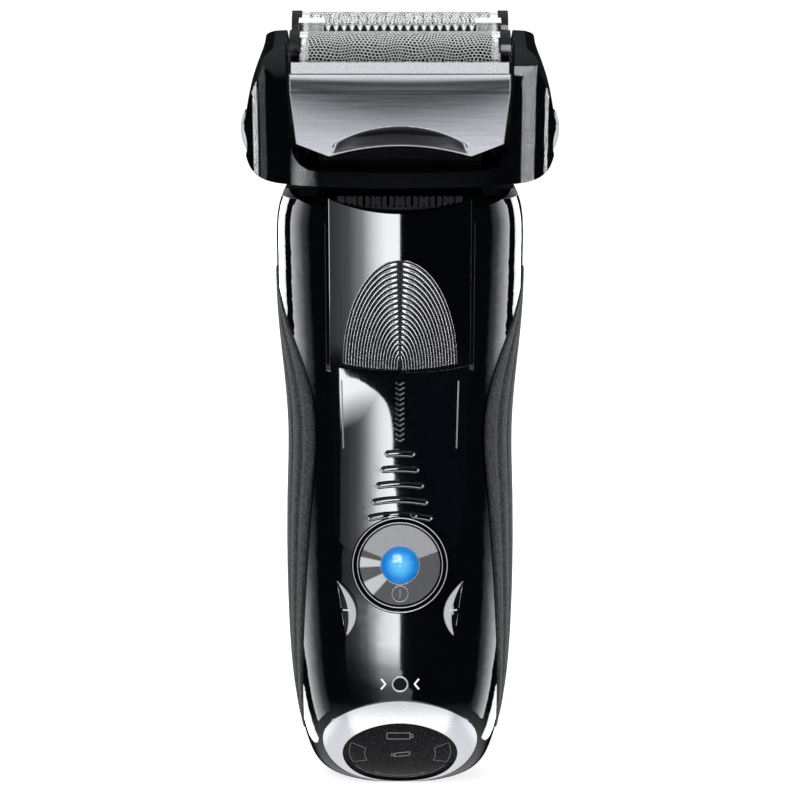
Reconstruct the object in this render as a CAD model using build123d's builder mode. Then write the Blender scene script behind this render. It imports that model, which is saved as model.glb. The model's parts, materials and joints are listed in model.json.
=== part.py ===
from build123d import *
import os
from math import cos, radians, sin

# Foil shaver, millimetres. X is to the right, Y is towards the back and Z is up.
# The origin is on the flat foot that the handle stands on.

os.makedirs("parts", exist_ok=True)

# Handle: height, front line, back line and half width of each section.
STATIONS = [
    (0.0, -7.0, 9.0, 11.0),
    (1.5, -9.1, 10.3, 15.0),
    (4.0, -11.7, 11.9, 17.6),
    (8.0, -14.6, 13.2, 19.4),
    (14.0, -17.6, 14.3, 20.9),
    (24.0, -19.4, 15.2, 22.4),
    (36.0, -18.4, 16.1, 23.2),
    (48.0, -16.3, 16.6, 23.5),
    (62.0, -14.2, 17.2, 23.4),
    (75.0, -13.3, 17.6, 23.2),
    (88.0, -14.1, 17.5, 24.1),
    (101.0, -16.6, 16.8, 25.2),
    (114.0, -19.15, 14.9, 25.4),
    (127.0, -21.7, 11.4, 23.0),
]
SQUARENESS = 2.6  # exponent of each section's superellipse
SECTION_POINTS = 24
WALL = 2.2
BODY_TOP = 126.3
PARTING_Y = 2.0
SEAM = 0.1  # visible gap round each inlaid piece

# Head: it tilts about a line along X and leans forward from the handle.
PIVOT_Y = -4.0
PIVOT_Z = 129.0
HEAD_LEAN = 13.0
TILT_FORWARD = 12.0
TILT_BACK = 28.0
SKIRT_V = 14.8  # half depth of the frame at its lower edge
FRAME_BASE = (1.5, 4.7)  # bottom and top of the frame's base, above the pivot
PIN_RADIUS = 1.2

# Long-hair trimmer: it slides along the leaning front of the handle.
SLIDE_LEAN = 11.0
SLIDE_START = 88.0
SLIDER_HALF_WIDTH = 14.2
SLIDER_SAG = 1.45
SLIDER_PROUD = 0.35
SLIDER_BOTTOM = 1.6
SLIDER_TOP = 38.4
SLIDER_BACK = 2.15  # depth of its flat back behind the front line
FLANGE_FRONT = 1.45
COMB_FRONT = 1.15
CHANNEL_BED = 3.8

# Buttons
BUTTON_Z = 49.2
BUTTON_TILT = 9.0
BUTTON_RADIUS = 8.45
BEZEL_RADIUS = 10.0
LENS_RADIUS = 3.85

# Cassette and foils, in the head's own frame
CASSETTE_HALF_WIDTH = 21.9
CASSETTE_HALF_DEPTH = 13.6
CASSETTE_TOP = 27.2
FOIL_OFFSET = 7.3
FOIL_RADIUS = 4.9
FOIL_CROWN = 31.6
FOIL_THICKNESS = 0.25
FOIL_HALF_LENGTH = 19.9
FOIL_BOTTOM = 22.0
CAP_BOTTOM = 28.9
BAR_SPAN = (24.9, CASSETTE_TOP)
CUTTER_RADIUS = 4.5
BLADES = 20
BLADE_THICKNESS = 0.35
BLADE_SPAN = 36.0


def front_line(height):
    """Front of the handle on its centre line, at this height."""
    for (z0, y0, *_), (z1, y1, *_) in zip(STATIONS, STATIONS[1:]):
        if z0 <= height <= z1:
            return y0 + (y1 - y0) * (height - z0) / (z1 - z0)
    return STATIONS[-1][1]


HEAD = Plane(
    origin=(0, PIVOT_Y, PIVOT_Z),
    x_dir=(1, 0, 0),
    z_dir=(0, -sin(radians(HEAD_LEAN)), cos(radians(HEAD_LEAN))),
)
# Front views of the head are drawn on HEAD_FRONT, whose normal points backwards.
HEAD_FRONT = Plane(origin=HEAD.origin, x_dir=(-1, 0, 0), z_dir=HEAD.y_dir)
# Side views of the head are drawn on HEAD_SIDE: its x is the head's y, its y the head's z.
HEAD_SIDE = Plane(origin=HEAD.origin, x_dir=HEAD.y_dir, z_dir=(1, 0, 0))
SLIDE = Plane(
    origin=(0, front_line(SLIDE_START), SLIDE_START),
    x_dir=(1, 0, 0),
    z_dir=(0, -sin(radians(SLIDE_LEAN)), cos(radians(SLIDE_LEAN))),
)
BUTTON = Plane(
    origin=(0, front_line(BUTTON_Z), BUTTON_Z),
    x_dir=(1, 0, 0),
    z_dir=(0, -cos(radians(BUTTON_TILT)), sin(radians(BUTTON_TILT))),
)
# The display faces forward and down from the chin.
CHIN = Plane(origin=(0, -15.1, 9.3), x_dir=(1, 0, 0), z_dir=(0, -0.862, -0.507))
LOCK_LEAN = 8.4
LOCK = Plane(
    origin=(0, 16.1, 106.0),
    x_dir=(-1, 0, 0),
    z_dir=(0, cos(radians(LOCK_LEAN)), sin(radians(LOCK_LEAN))),
)


def section_points(front, back, half_width):
    """Points round a superellipse, from its right side."""
    points = []
    for step in range(SECTION_POINTS):
        turn = radians(360 * step / SECTION_POINTS)
        across, along = cos(turn), sin(turn)
        x = half_width * abs(across) ** (2 / SQUARENESS)
        y = (back - front) / 2 * abs(along) ** (2 / SQUARENESS)
        points.append(
            (
                x if across >= 0 else -x,
                (front + back) / 2 + (y if along >= 0 else -y),
            )
        )
    return points


def handle_form(inset):
    """The handle's outer form, with every section drawn in by inset."""
    with BuildPart() as form:
        for height, front, back, half_width in STATIONS:
            with BuildSketch(Plane.XY.offset(height)):
                with BuildLine():
                    Spline(
                        section_points(front + inset, back - inset, half_width - inset),
                        periodic=True,
                    )
                make_face()
        loft()
    return form.part


def prism(plane, start, end, draw):
    """A straight solid between two distances along a plane's normal; draw makes its sketch."""
    with BuildPart() as solid:
        with BuildSketch(plane.offset(start)):
            draw()
        extrude(amount=end - start)
    return solid.part


def layer(outer, inner, tool):
    """The part of a tool that lies between two handle forms."""
    with BuildPart() as piece:
        add(outer)
        add(inner, mode=Mode.SUBTRACT)
        add(tool, mode=Mode.INTERSECT)
    return piece.part


def pocket(bed, tool):
    """The part of a tool that lies outside a handle form."""
    with BuildPart() as piece:
        add(tool)
        add(bed, mode=Mode.SUBTRACT)
    return piece.part


def save(name, piece):
    piece.label = name
    export_step(piece, f"parts/{name}.step")


def mirrored(piece):
    """The same piece on the other side of the object."""
    return mirror(piece, about=Plane.YZ)


# Outlines, each drawn in its own view.


def slider_section(gap):
    """Across the trimmer slider, or its channel, which is wider by gap."""
    half = SLIDER_HALF_WIDTH + gap
    flange = half + 0.8
    back = SLIDER_BACK + gap
    with BuildLine() as outline:
        crown = ThreePointArc(
            (-half, SLIDER_SAG - SLIDER_PROUD), (0, -SLIDER_PROUD), (half, SLIDER_SAG - SLIDER_PROUD)
        )
        Polyline(
            crown @ 1,
            (half, FLANGE_FRONT - gap),
            (flange, FLANGE_FRONT - gap),
            (flange, back),
            (-flange, back),
            (-flange, FLANGE_FRONT - gap),
            (-half, FLANGE_FRONT - gap),
            crown @ 0,
        )
    make_face(outline.edges())


def channel_section():
    slider_section(SEAM)
    with Locations((0, -3.0)):
        Rectangle(2 * (SLIDER_HALF_WIDTH + SEAM), 9.0)


def pad_outline():
    """Thumb pad from the front: a tall half ellipse on a curved foot."""
    with BuildLine() as outline:
        rim = EllipticalCenterArc((0, 90.9), 11.6, 21.8, start_angle=0, arc_size=180)
        ThreePointArc(rim @ 1, (0, 89.7), rim @ 0)
    make_face(outline.edges())


def slider_front():
    """Front view of the slider's skin: its top dips in the middle, its foot is curved."""
    with BuildLine() as outline:
        top = ThreePointArc((-SLIDER_HALF_WIDTH - 2, 126.0), (0, 122.2), (SLIDER_HALF_WIDTH + 2, 126.0))
        foot = ThreePointArc((-SLIDER_HALF_WIDTH - 2, 90.7), (0, 89.2), (SLIDER_HALF_WIDTH + 2, 90.7))
        Line(top @ 0, foot @ 0)
        Line(top @ 1, foot @ 1)
    make_face(outline.edges())


def panel_outline():
    """Control panel from the front: it stops round the power button's bezel."""
    with BuildLine() as outline:
        top = ThreePointArc((-14.2, 90.2), (0, 88.9), (14.2, 90.2))
        right = Line(top @ 1, (13.5, 57.0))
        turn = ThreePointArc(right @ 1, (12.6, 54.0), (10.2, 52.2))
        left = Line(top @ 0, (-13.5, 57.0))
        other = ThreePointArc(left @ 1, (-12.6, 54.0), (-10.2, 52.2))
        Line(turn @ 1, other @ 1)
    make_face(outline.edges())


def round_of(radius):
    def draw():
        Circle(radius)

    return draw


def oval_of(half_width, half_height, shift=0.0):
    def draw():
        with Locations((0, shift)):
            Ellipse(half_width, half_height)

    return draw


def grip_outline():
    """Side grip from the side, with both ends drawn to a tip."""
    with BuildLine() as outline:
        front = Spline(
            (2.0, 109.5), (-6.2, 104.8), (-8.9, 97.5), (-10.1, 86), (-10.3, 66), (-11.4, 50),
            (-12.5, 36), (-12.2, 25), (-8.6, 15.0), (0.0, 10.0),
        )
        Spline(front @ 1, (7.2, 18), (10.4, 36), (11.2, 60), (10.6, 84), (8.0, 100), front @ 0)
    make_face(outline.edges())


def key_outline():
    """D-shaped key from the front, with a straight outer edge."""
    with BuildLine() as outline:
        edge = Line((12.9, 45.6), (11.2, 34.6))
        ThreePointArc(edge @ 1, (8.9, 40.3), edge @ 0)
    make_face(outline.edges())


def head_clearance():
    """Side view of all that the head sweeps through over the handle."""
    reach = 40.0
    front = radians(HEAD_LEAN + TILT_FORWARD + 1.5)
    back = radians(TILT_BACK - HEAD_LEAN + 1.5)
    ridge = PIVOT_Z + FRAME_BASE[0] - 0.3
    with BuildLine() as outline:
        Polyline(
            (PIVOT_Y, ridge),
            (PIVOT_Y - reach * cos(front), ridge - reach * sin(front)),
            (PIVOT_Y - reach, PIVOT_Z + reach),
            (PIVOT_Y + reach, PIVOT_Z + reach),
            (PIVOT_Y + reach * cos(back), ridge - reach * sin(back)),
            close=True,
        )
    make_face(outline.edges())


def frame_front():
    """U-shaped head frame from the front."""
    with BuildLine() as outline:
        right = Spline(
            (21.5, FRAME_BASE[0]), (26.2, 1.55), (29.6, 2.7), (31.3, 5.8), (31.6, 10.0), (31.0, 14.5),
            (29.0, 21.2), (27.5, 25.4), (25.3, 28.0), tangents=[(1, 0), (-1, 0.5)],
        )
        cap = Line(right @ 1, (22.9, 28.4))
        inner = Line(cap @ 1, (21.7, 9.6))
        turn = ThreePointArc(inner @ 1, (20.3, 6.1), (16.5, FRAME_BASE[1]))
        Line(turn @ 1, (0, FRAME_BASE[1]))
        Line((0, FRAME_BASE[0]), right @ 0)
        mirror(about=Plane.YZ)
    make_face(outline.edges())


def frame_side():
    """Head frame from the side: the arms narrow towards their round tops."""
    with BuildLine() as outline:
        front = Spline(
            (-SKIRT_V, 0), (-SKIRT_V, 5), (-14.4, 12), (-13.0, 19), (-10.2, 25.4), (-5.5, 28.5), (0, 29.1),
            tangents=[(0, 1), (1, 0)],
        )
        Line((0, 0), front @ 0)
        mirror(about=Plane.YZ)
    make_face(outline.edges())


def frame_plan():
    with BuildLine() as outline:
        Spline(section_points(-SKIRT_V, SKIRT_V, 32.4), periodic=True)
    make_face(outline.edges())


def arch_section(radius, bottom):
    """Across a foil or a blade: a round crown on two straight legs."""
    centre = FOIL_CROWN - FOIL_RADIUS
    with BuildLine() as outline:
        crown = ThreePointArc((-radius, centre), (0, centre + radius), (radius, centre))
        Polyline(crown @ 0, (-radius, bottom), (radius, bottom), crown @ 1)
    make_face(outline.edges())


def side_at(x, depth):
    """Side view of the head at this x, with its origin moved back by depth."""
    return Plane(
        origin=HEAD.from_local_coords((x, depth, 0)), x_dir=HEAD_SIDE.x_dir, z_dir=HEAD_SIDE.z_dir
    )


def front_bar(width, height, bottom, depth, thickness):
    """Block in the head's frame, centred on X, from its lower edge up and from depth backwards."""
    with BuildPart() as block:
        with BuildSketch(HEAD_FRONT.offset(depth)):
            with Locations((0, bottom + height / 2)):
                Rectangle(width, height)
        extrude(amount=thickness)
    return block.part


# Forms and tools shared by several pieces

body_form = handle_form(0.0)
cavity_form = handle_form(WALL)
proud_form = handle_form(-0.35)
panel_bed = handle_form(1.3)
grip_bed = handle_form(1.0)
# The grips stop short of their bed by a film of glue.
grip_underside = handle_form(0.9)

clearance = prism(Plane.YZ, -40, 40, head_clearance)
right_grip_tool = prism(Plane.YZ, 10, 32, grip_outline)
left_grip_tool = mirrored(right_grip_tool)
panel_tool = prism(Plane.XZ, 5, 30, panel_outline)
button_hole = prism(BUTTON, -5, 6, round_of(BEZEL_RADIUS + 0.05))
display_tool = prism(CHIN, -7.5, 6, oval_of(16.1, 12.0, 0.5))
window_tool = prism(CHIN, -7.5, 6, oval_of(12.0, 9.5, -1.7))
key_tool = prism(Plane.XZ, 5, 30, key_outline)
channel_tool = prism(SLIDE, SLIDER_BOTTOM - 1.0, 60, channel_section)


def cap_outline():
    with Locations((0, 2.0)):
        RectangleRounded(18.0, 12.8, 5.0)


def socket_mouth():
    with Locations((0, 4.2)):
        RectangleRounded(8.6, 6.0, 2.4)


cap_tool = prism(Plane.XY, 0, WALL, cap_outline)

# Handle shells

with BuildPart() as hollow:
    add(body_form)
    with BuildSketch(Plane.XY.offset(BODY_TOP)):
        Rectangle(90, 90)
    extrude(amount=10, mode=Mode.SUBTRACT)
    add(clearance, mode=Mode.SUBTRACT)
    add(cap_tool, mode=Mode.SUBTRACT)

BOSSES = [(-14.0, 30.0), (14.0, 30.0), (-15.0, 82.0), (15.0, 82.0)]
BOSS_Y = 7.3
PILOT_DEPTH = 2.6
SCREW_HEAD = 1.4  # from the bosses' faces to the screws' heads


def boss_circles(radius):
    def draw():
        with Locations(*BOSSES):
            Circle(radius)

    return draw


# Underside of the handle's top wall, from the side.
CEILING = [(-30, 121.0), (-14, 121.0), (-8, 123.8), (25, 123.8), (25, 140), (-30, 140)]

with BuildPart() as cavity:
    add(cavity_form)
    with BuildSketch(Plane.XY):
        Rectangle(90, 90)
    extrude(amount=WALL, mode=Mode.SUBTRACT)
    with BuildSketch(Plane.YZ.offset(-40)):
        Polygon(*CEILING, align=None)
    extrude(amount=80, mode=Mode.SUBTRACT)
    add(prism(Plane.XZ, BOSS_Y, 22, boss_circles(2.3)), mode=Mode.SUBTRACT)
    with BuildSketch(SLIDE.offset(-0.8)):
        Rectangle(2 * SLIDER_HALF_WIDTH + 4.4, 2 * CHANNEL_BED)
    extrude(amount=60, mode=Mode.SUBTRACT)

LUG_X = 15.6
LUG_WIDTH = 2.0
LUG_RADIUS = 2.3


def handle_lug():
    with Locations((PIVOT_Y, PIVOT_Z)):
        Circle(LUG_RADIUS)
    with Locations((PIVOT_Y, PIVOT_Z - 3.0)):
        Rectangle(2 * LUG_RADIUS, 6.0)


def pivot_circle(radius):
    def draw():
        with Locations((PIVOT_Y, PIVOT_Z)):
            Circle(radius)

    return draw


lug = prism(Plane.YZ, LUG_X, LUG_X + LUG_WIDTH, handle_lug)
pin_bore = prism(Plane.YZ, -22, 22, pivot_circle(PIN_RADIUS))


def notch_outline():
    with Locations((-13.5, 125.5)):
        Rectangle(3.2, 5.4)


notch = prism(Plane.YZ, 16.6, 20.6, notch_outline)

with BuildPart() as shells:
    add(hollow.part)
    add(cavity.part, mode=Mode.SUBTRACT)
    add(channel_tool, mode=Mode.SUBTRACT)
    add(notch, mode=Mode.SUBTRACT)
    add(mirrored(notch), mode=Mode.SUBTRACT)
    for tool in (right_grip_tool, left_grip_tool):
        add(pocket(grip_bed, tool), mode=Mode.SUBTRACT)

with BuildPart() as front_shell:
    add(shells.part)
    split(bisect_by=Plane.XZ.offset(-PARTING_Y), keep=Keep.TOP)
    add(pocket(panel_bed, panel_tool), mode=Mode.SUBTRACT)
    add(button_hole, mode=Mode.SUBTRACT)
    add(display_tool, mode=Mode.SUBTRACT)
    with BuildSketch(Plane.XZ.offset(5)):
        key_outline()
        offset(amount=0.15)
        mirror(about=Plane.YZ)
        with Locations((0, 24.8)):
            Circle(1.3)
    extrude(amount=25, mode=Mode.SUBTRACT)
    with BuildSketch(Plane.XZ.offset(BOSS_Y)):
        with Locations(*BOSSES):
            Circle(0.8)
    extrude(amount=PILOT_DEPTH, mode=Mode.SUBTRACT)
    add(lug)
    add(mirrored(lug))
    add(pin_bore, mode=Mode.SUBTRACT)
save("front_shell", front_shell.part)

with BuildPart() as back_shell:
    add(shells.part)
    split(bisect_by=Plane.XZ.offset(-PARTING_Y), keep=Keep.BOTTOM)
    with BuildSketch(LOCK.offset(-4)):
        with Locations((0, 2.0)):
            RectangleRounded(5.4, 10.4, 1.0)
    extrude(amount=6, mode=Mode.SUBTRACT)
    with BuildSketch(Plane.XZ.offset(-16)):
        with Locations((-5, 13.0), (5, 13.0)):
            Circle(1.7)
    extrude(amount=3.4, mode=Mode.SUBTRACT)
save("back_shell", back_shell.part)

with BuildPart() as right_grip:
    add(layer(proud_form, grip_underside, right_grip_tool))
save("right_grip", right_grip.part)
save("left_grip", mirrored(right_grip.part))

with BuildPart() as bottom_cap:
    add(cap_tool)
    with BuildSketch(Plane.XY):
        socket_mouth()
    extrude(amount=WALL, mode=Mode.SUBTRACT)
save("bottom_cap", bottom_cap.part)

# Power inlet

SOCKET_TOP = 12.2
PINS = [(-2.1, 4.2), (2.1, 4.2)]

with BuildPart() as power_socket:
    with BuildSketch(Plane.XY.offset(WALL)):
        with Locations((0, 4.2)):
            RectangleRounded(11.2, 8.4, 3.2)
    extrude(amount=SOCKET_TOP - WALL)
    with BuildSketch(Plane.XY.offset(WALL)):
        socket_mouth()
    extrude(amount=SOCKET_TOP - WALL - 1.4, mode=Mode.SUBTRACT)
    with BuildSketch(Plane.XY.offset(SOCKET_TOP - 1.4)):
        with Locations(*PINS):
            Circle(0.75)
    extrude(amount=1.4, mode=Mode.SUBTRACT)
save("power_socket", power_socket.part)

with BuildPart() as socket_pins:
    with BuildSketch(Plane.XY.offset(5.2)):
        with Locations(*PINS):
            Circle(0.75)
    extrude(amount=9.0)
save("socket_pins", socket_pins.part)

with BuildPart() as charging_contacts:
    with BuildSketch(Plane.XZ.offset(-12.6)):
        with Locations((-5, 13.0), (5, 13.0)):
            Circle(1.7)
    extrude(amount=-1.6)
save("charging_contacts", charging_contacts.part)

# Control panel with its five bars

BARS = [(71.9, 6.3), (68.6, 8.0), (65.3, 9.9), (61.9, 11.6), (58.6, 13.4)]
BAR_HEIGHT = 1.5


def bars_outline():
    for height, width in BARS:
        with Locations((0, height)):
            SlotOverall(width, BAR_HEIGHT)


bars = layer(handle_form(-0.75), panel_bed, prism(Plane.XZ, 5, 30, bars_outline))

with BuildPart() as control_panel:
    add(layer(proud_form, panel_bed, panel_tool))
    add(bars)
    add(button_hole, mode=Mode.SUBTRACT)
save("control_panel", control_panel.part)

# Power button

with BuildPart() as button_bezel:
    with BuildSketch(BUTTON.offset(-2.6)):
        Circle(BEZEL_RADIUS)
        Circle(BUTTON_RADIUS + 0.25, mode=Mode.SUBTRACT)
    extrude(amount=3.0)
    with BuildSketch(BUTTON.offset(0.4)):
        Circle(BEZEL_RADIUS)
        Circle(BEZEL_RADIUS - 0.5, mode=Mode.SUBTRACT)
    extrude(amount=0.35)
save("button_bezel", button_bezel.part)

with BuildPart() as power_button:
    with BuildSketch(BUTTON.offset(-2.2)):
        Circle(BUTTON_RADIUS)
        Circle(LENS_RADIUS, mode=Mode.SUBTRACT)
    extrude(amount=2.6)
    chamfer(power_button.faces().sort_by(Axis.Y)[0].outer_wire().edges(), length=0.25)
save("power_button", power_button.part)

LENS_HEIGHT = 1.0
LENS_SPHERE = (LENS_RADIUS**2 + LENS_HEIGHT**2) / (2 * LENS_HEIGHT)

with BuildPart() as button_lens:
    with BuildSketch(BUTTON.offset(-1.6)):
        Circle(LENS_RADIUS)
    extrude(amount=3.4)
    with Locations(BUTTON.offset(0.3 + LENS_HEIGHT - LENS_SPHERE)):
        Sphere(LENS_SPHERE, mode=Mode.INTERSECT)
save("button_lens", button_lens.part)

key_form = handle_form(-0.5)
key_bed = handle_form(1.5)
with BuildPart() as plus_button:
    add(layer(key_form, key_bed, key_tool))
save("plus_button", plus_button.part)
save("minus_button", mirrored(plus_button.part))

with BuildPart() as reset_button:
    with BuildSketch(Plane.XZ.offset(17.6)):
        with Locations((0, 24.8)):
            Circle(1.15)
    extrude(amount=1.75)
save("reset_button", reset_button.part)

# Display in the chin

with BuildPart() as display_ring:
    add(layer(handle_form(-0.4), cavity_form, display_tool))
    add(window_tool, mode=Mode.SUBTRACT)
save("display_ring", display_ring.part)

with BuildPart() as display_window:
    add(layer(handle_form(0.6), handle_form(1.8), window_tool))
save("display_window", display_window.part)

with BuildPart() as display_board:
    with BuildSketch(CHIN.offset(-7.0)):
        with Locations((0, 0.5)):
            Ellipse(10.5, 7.0)
    extrude(amount=1.0)
save("display_board", display_board.part)

# Inside the handle

BATTERY_RADIUS = 7.0
BATTERY_SPAN = (30.0, 80.0)
BATTERY_Y = 5.0

with BuildPart() as inner_chassis:
    with BuildSketch(Plane.XZ.offset(BOSS_Y - SCREW_HEAD)):
        with Locations((0, 58)):
            RectangleRounded(35.0, 66.0, 4.0)
        with Locations((0, 95)):
            RectangleRounded(24.0, 20.0, 3.0)
        with Locations(*BOSSES):
            Circle(1.1, mode=Mode.SUBTRACT)
    extrude(amount=1.3)
    for bottom in (37.0, 66.0):
        with BuildSketch(Plane.XY.offset(bottom)):
            with Locations((0, BATTERY_Y)):
                Circle(BATTERY_RADIUS + 1.4)
            with Locations((0, (BATTERY_Y - BOSS_Y + SCREW_HEAD) / 2 - 1.0)):
                Rectangle(2 * BATTERY_RADIUS, BATTERY_Y + BOSS_Y - 3.4)
            with Locations((0, BATTERY_Y)):
                Circle(BATTERY_RADIUS + 0.05, mode=Mode.SUBTRACT)
            with Locations((0, BATTERY_Y + 8)):
                Rectangle(9.0, 12.0, mode=Mode.SUBTRACT)
        extrude(amount=7.0)
save("inner_chassis", inner_chassis.part)

with BuildPart() as battery_cell:
    with BuildSketch(Plane.XY.offset(BATTERY_SPAN[0])):
        with Locations((0, BATTERY_Y)):
            Circle(BATTERY_RADIUS)
    extrude(amount=BATTERY_SPAN[1] - BATTERY_SPAN[0])
    chamfer(battery_cell.edges().filter_by(GeomType.CIRCLE), length=0.6)
save("battery_cell", battery_cell.part)

with BuildPart() as battery_tabs:
    with BuildSketch(Plane.XY.offset(BATTERY_SPAN[1])):
        with Locations((0, BATTERY_Y - 3)):
            Rectangle(4.0, 14.0)
    extrude(amount=0.3)
    with BuildSketch(Plane.XY.offset(BATTERY_SPAN[0] - 0.3)):
        with Locations((0, BATTERY_Y - 3)):
            Rectangle(4.0, 14.0)
    extrude(amount=0.3)
save("battery_tabs", battery_tabs.part)

with BuildPart() as circuit_board:
    with BuildSketch(Plane.XZ.offset(8.1)):
        with Locations((0, 57)):
            RectangleRounded(22.6, 58.0, 2.0)
    extrude(amount=1.2)
    with BuildSketch(Plane.XZ.offset(9.3)):
        with Locations((0, BUTTON_Z), (-8.5, 40), (8.5, 40)):
            Rectangle(4.5, 4.5)
        with Locations((0, 68), (-6, 77), (5, 78)):
            Rectangle(5.0, 5.0)
    extrude(amount=1.3)
save("circuit_board", circuit_board.part)

with BuildPart() as body_screws:
    with BuildSketch(Plane.XZ.offset(BOSS_Y - SCREW_HEAD)):
        with Locations(*BOSSES):
            Circle(0.78)
    extrude(amount=SCREW_HEAD + PILOT_DEPTH - 0.3)
    with BuildSketch(Plane.XZ.offset(BOSS_Y - SCREW_HEAD)):
        with Locations(*BOSSES):
            Circle(1.7)
            RegularPolygon(0.7, 6, mode=Mode.SUBTRACT)
    extrude(amount=-1.1)
save("body_screws", body_screws.part)

# Neck

with BuildPart() as neck_seal:
    with BuildSketch(Plane.YZ.offset(-14.6)):
        with Locations((PIVOT_Y, PIVOT_Z)):
            Circle(3.5)
        with Locations((PIVOT_Y, PIVOT_Z - 10 + BODY_TOP - PIVOT_Z)):
            Rectangle(20, 20, mode=Mode.SUBTRACT)
    extrude(amount=29.2)
save("neck_seal", neck_seal.part)

with BuildPart() as hinge_pins:
    with BuildSketch(Plane.YZ.offset(LUG_X)):
        with Locations((PIVOT_Y, PIVOT_Z)):
            Circle(PIN_RADIUS)
    extrude(amount=4.7)
    mirror(about=Plane.YZ)
save("hinge_pins", hinge_pins.part)

with BuildPart() as neck_stops:
    with BuildSketch(Plane.YZ.offset(16.6)):
        with Locations((-13.5, 124.0)):
            Circle(1.05)
    extrude(amount=4.0)
    mirror(about=Plane.YZ)
save("neck_stops", neck_stops.part)

with BuildPart() as head_lock_slider:
    with BuildSketch(LOCK.offset(0.35)):
        RectangleRounded(12.0, 7.4, 2.4)
    extrude(amount=1.3)
    chamfer(head_lock_slider.faces().sort_by(Axis.Y)[-1].edges(), length=0.4)
    with BuildSketch(LOCK.offset(-3.2)):
        RectangleRounded(5.0, 6.0, 1.0)
    extrude(amount=3.6)
    with BuildSketch(LOCK.offset(-4.0)):
        RectangleRounded(9.0, 8.0, 1.0)
    extrude(amount=1.0)
save("head_lock_slider", head_lock_slider.part)

# Long-hair trimmer on its slider

BLADE_POCKET = (24.0, 12.6)


def pocket_section():
    with Locations((0, (COMB_FRONT + SLIDER_BACK + 1.0) / 2)):
        Rectangle(2 * BLADE_POCKET[1], SLIDER_BACK + 1.0 - COMB_FRONT)


pad_front = prism(Plane.XZ, 5, 40, pad_outline)


def pad_section():
    with BuildLine() as outline:
        crown = ThreePointArc((-14, 0.75), (0, -0.6), (14, 0.75))
        floor = ThreePointArc((-14, 1.5), (0, 0.15), (14, 1.5))
        Line(crown @ 0, floor @ 0)
        Line(crown @ 1, floor @ 1)
    make_face(outline.edges())


with BuildPart() as thumb_pad:
    add(prism(SLIDE, 0, 40, pad_section))
    add(pad_front, mode=Mode.INTERSECT)
save("thumb_pad", thumb_pad.part)


def plate_section():
    slider_section(0.0)


with BuildPart() as trimmer_slider:
    add(prism(SLIDE, SLIDER_BOTTOM - 1.2, SLIDER_TOP, plate_section))
    add(prism(Plane.XZ, 5, 40, slider_front), mode=Mode.INTERSECT)
    add(prism(SLIDE, BLADE_POCKET[0], 60, pocket_section), mode=Mode.SUBTRACT)
    add(thumb_pad.part, mode=Mode.SUBTRACT)
save("trimmer_slider", trimmer_slider.part)


TRIMMER_BLADE = 0.4


def toothed(width, pitch, slot, depth, span, front):
    """Flat toothed blade on the slide, with its teeth at the top."""
    bottom, top = span
    slots = int(width / pitch) - 1
    middle = front + TRIMMER_BLADE / 2
    with BuildPart() as blade:
        with BuildSketch(SLIDE.offset(bottom)):
            with Locations((0, middle)):
                Rectangle(width, TRIMMER_BLADE)
        extrude(amount=top - bottom)
        with BuildSketch(SLIDE.offset(top - depth)):
            with Locations((0, middle)):
                with GridLocations(pitch, 1, slots, 1):
                    Rectangle(slot, 2 * TRIMMER_BLADE)
        extrude(amount=depth, mode=Mode.SUBTRACT)
    return blade.part


comb_span = (BLADE_POCKET[0] + 0.1, SLIDER_TOP - 0.2)
save("trimmer_comb", toothed(2 * BLADE_POCKET[1] - 0.2, 1.2, 0.55, 2.2, comb_span, COMB_FRONT))
cutter_span = (BLADE_POCKET[0] + 5.0, SLIDER_TOP - 0.6)
save("trimmer_cutter", toothed(21.6, 1.6, 0.8, 1.6, cutter_span, COMB_FRONT + 0.55))

# Head frame


def head_lug_outline():
    Circle(LUG_RADIUS)
    with Locations((0, 1.6)):
        Rectangle(2 * LUG_RADIUS, 3.2)


RELEASE_TILT = radians(12.0)
RELEASE_SIZE = (6.3, 5.2)
RELEASE_DOME = 2.1
RELEASE = Plane(
    origin=HEAD.from_local_coords((30.2, 0, 8.0)),
    x_dir=HEAD.y_dir,
    z_dir=Vector(1, 0, 0) * cos(RELEASE_TILT) - HEAD.z_dir * sin(RELEASE_TILT),
)
release_hole = prism(RELEASE, -3.2, 6, oval_of(RELEASE_SIZE[0] + 0.15, RELEASE_SIZE[1] + 0.15))
frame_tunnel = prism(HEAD_SIDE, -15.0, 15.0, round_of(4.0))
lug_slot = prism(side_at(LUG_X - 0.6, 0), 0, LUG_WIDTH + 0.85, round_of(LUG_RADIUS + 0.3))
head_lug = prism(side_at(LUG_X + LUG_WIDTH + 0.25, 0), 0, LUG_WIDTH, head_lug_outline)

with BuildPart() as head_frame:
    add(prism(HEAD_FRONT, -SKIRT_V - 1, SKIRT_V + 1, frame_front))
    add(prism(HEAD_SIDE, -40, 40, frame_side), mode=Mode.INTERSECT)
    add(prism(HEAD, 0, 40, frame_plan), mode=Mode.INTERSECT)
    add(frame_tunnel, mode=Mode.SUBTRACT)
    for tool in (lug_slot, mirrored(lug_slot), release_hole, mirrored(release_hole)):
        add(tool, mode=Mode.SUBTRACT)
    add(head_lug)
    add(mirrored(head_lug))
    add(prism(HEAD_SIDE, -22, 22, round_of(PIN_RADIUS + 0.05)), mode=Mode.SUBTRACT)
save("head_frame", head_frame.part)

RELEASE_SPHERE = (RELEASE_SIZE[1] ** 2 + RELEASE_DOME**2) / (2 * RELEASE_DOME) + 1.0

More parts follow.
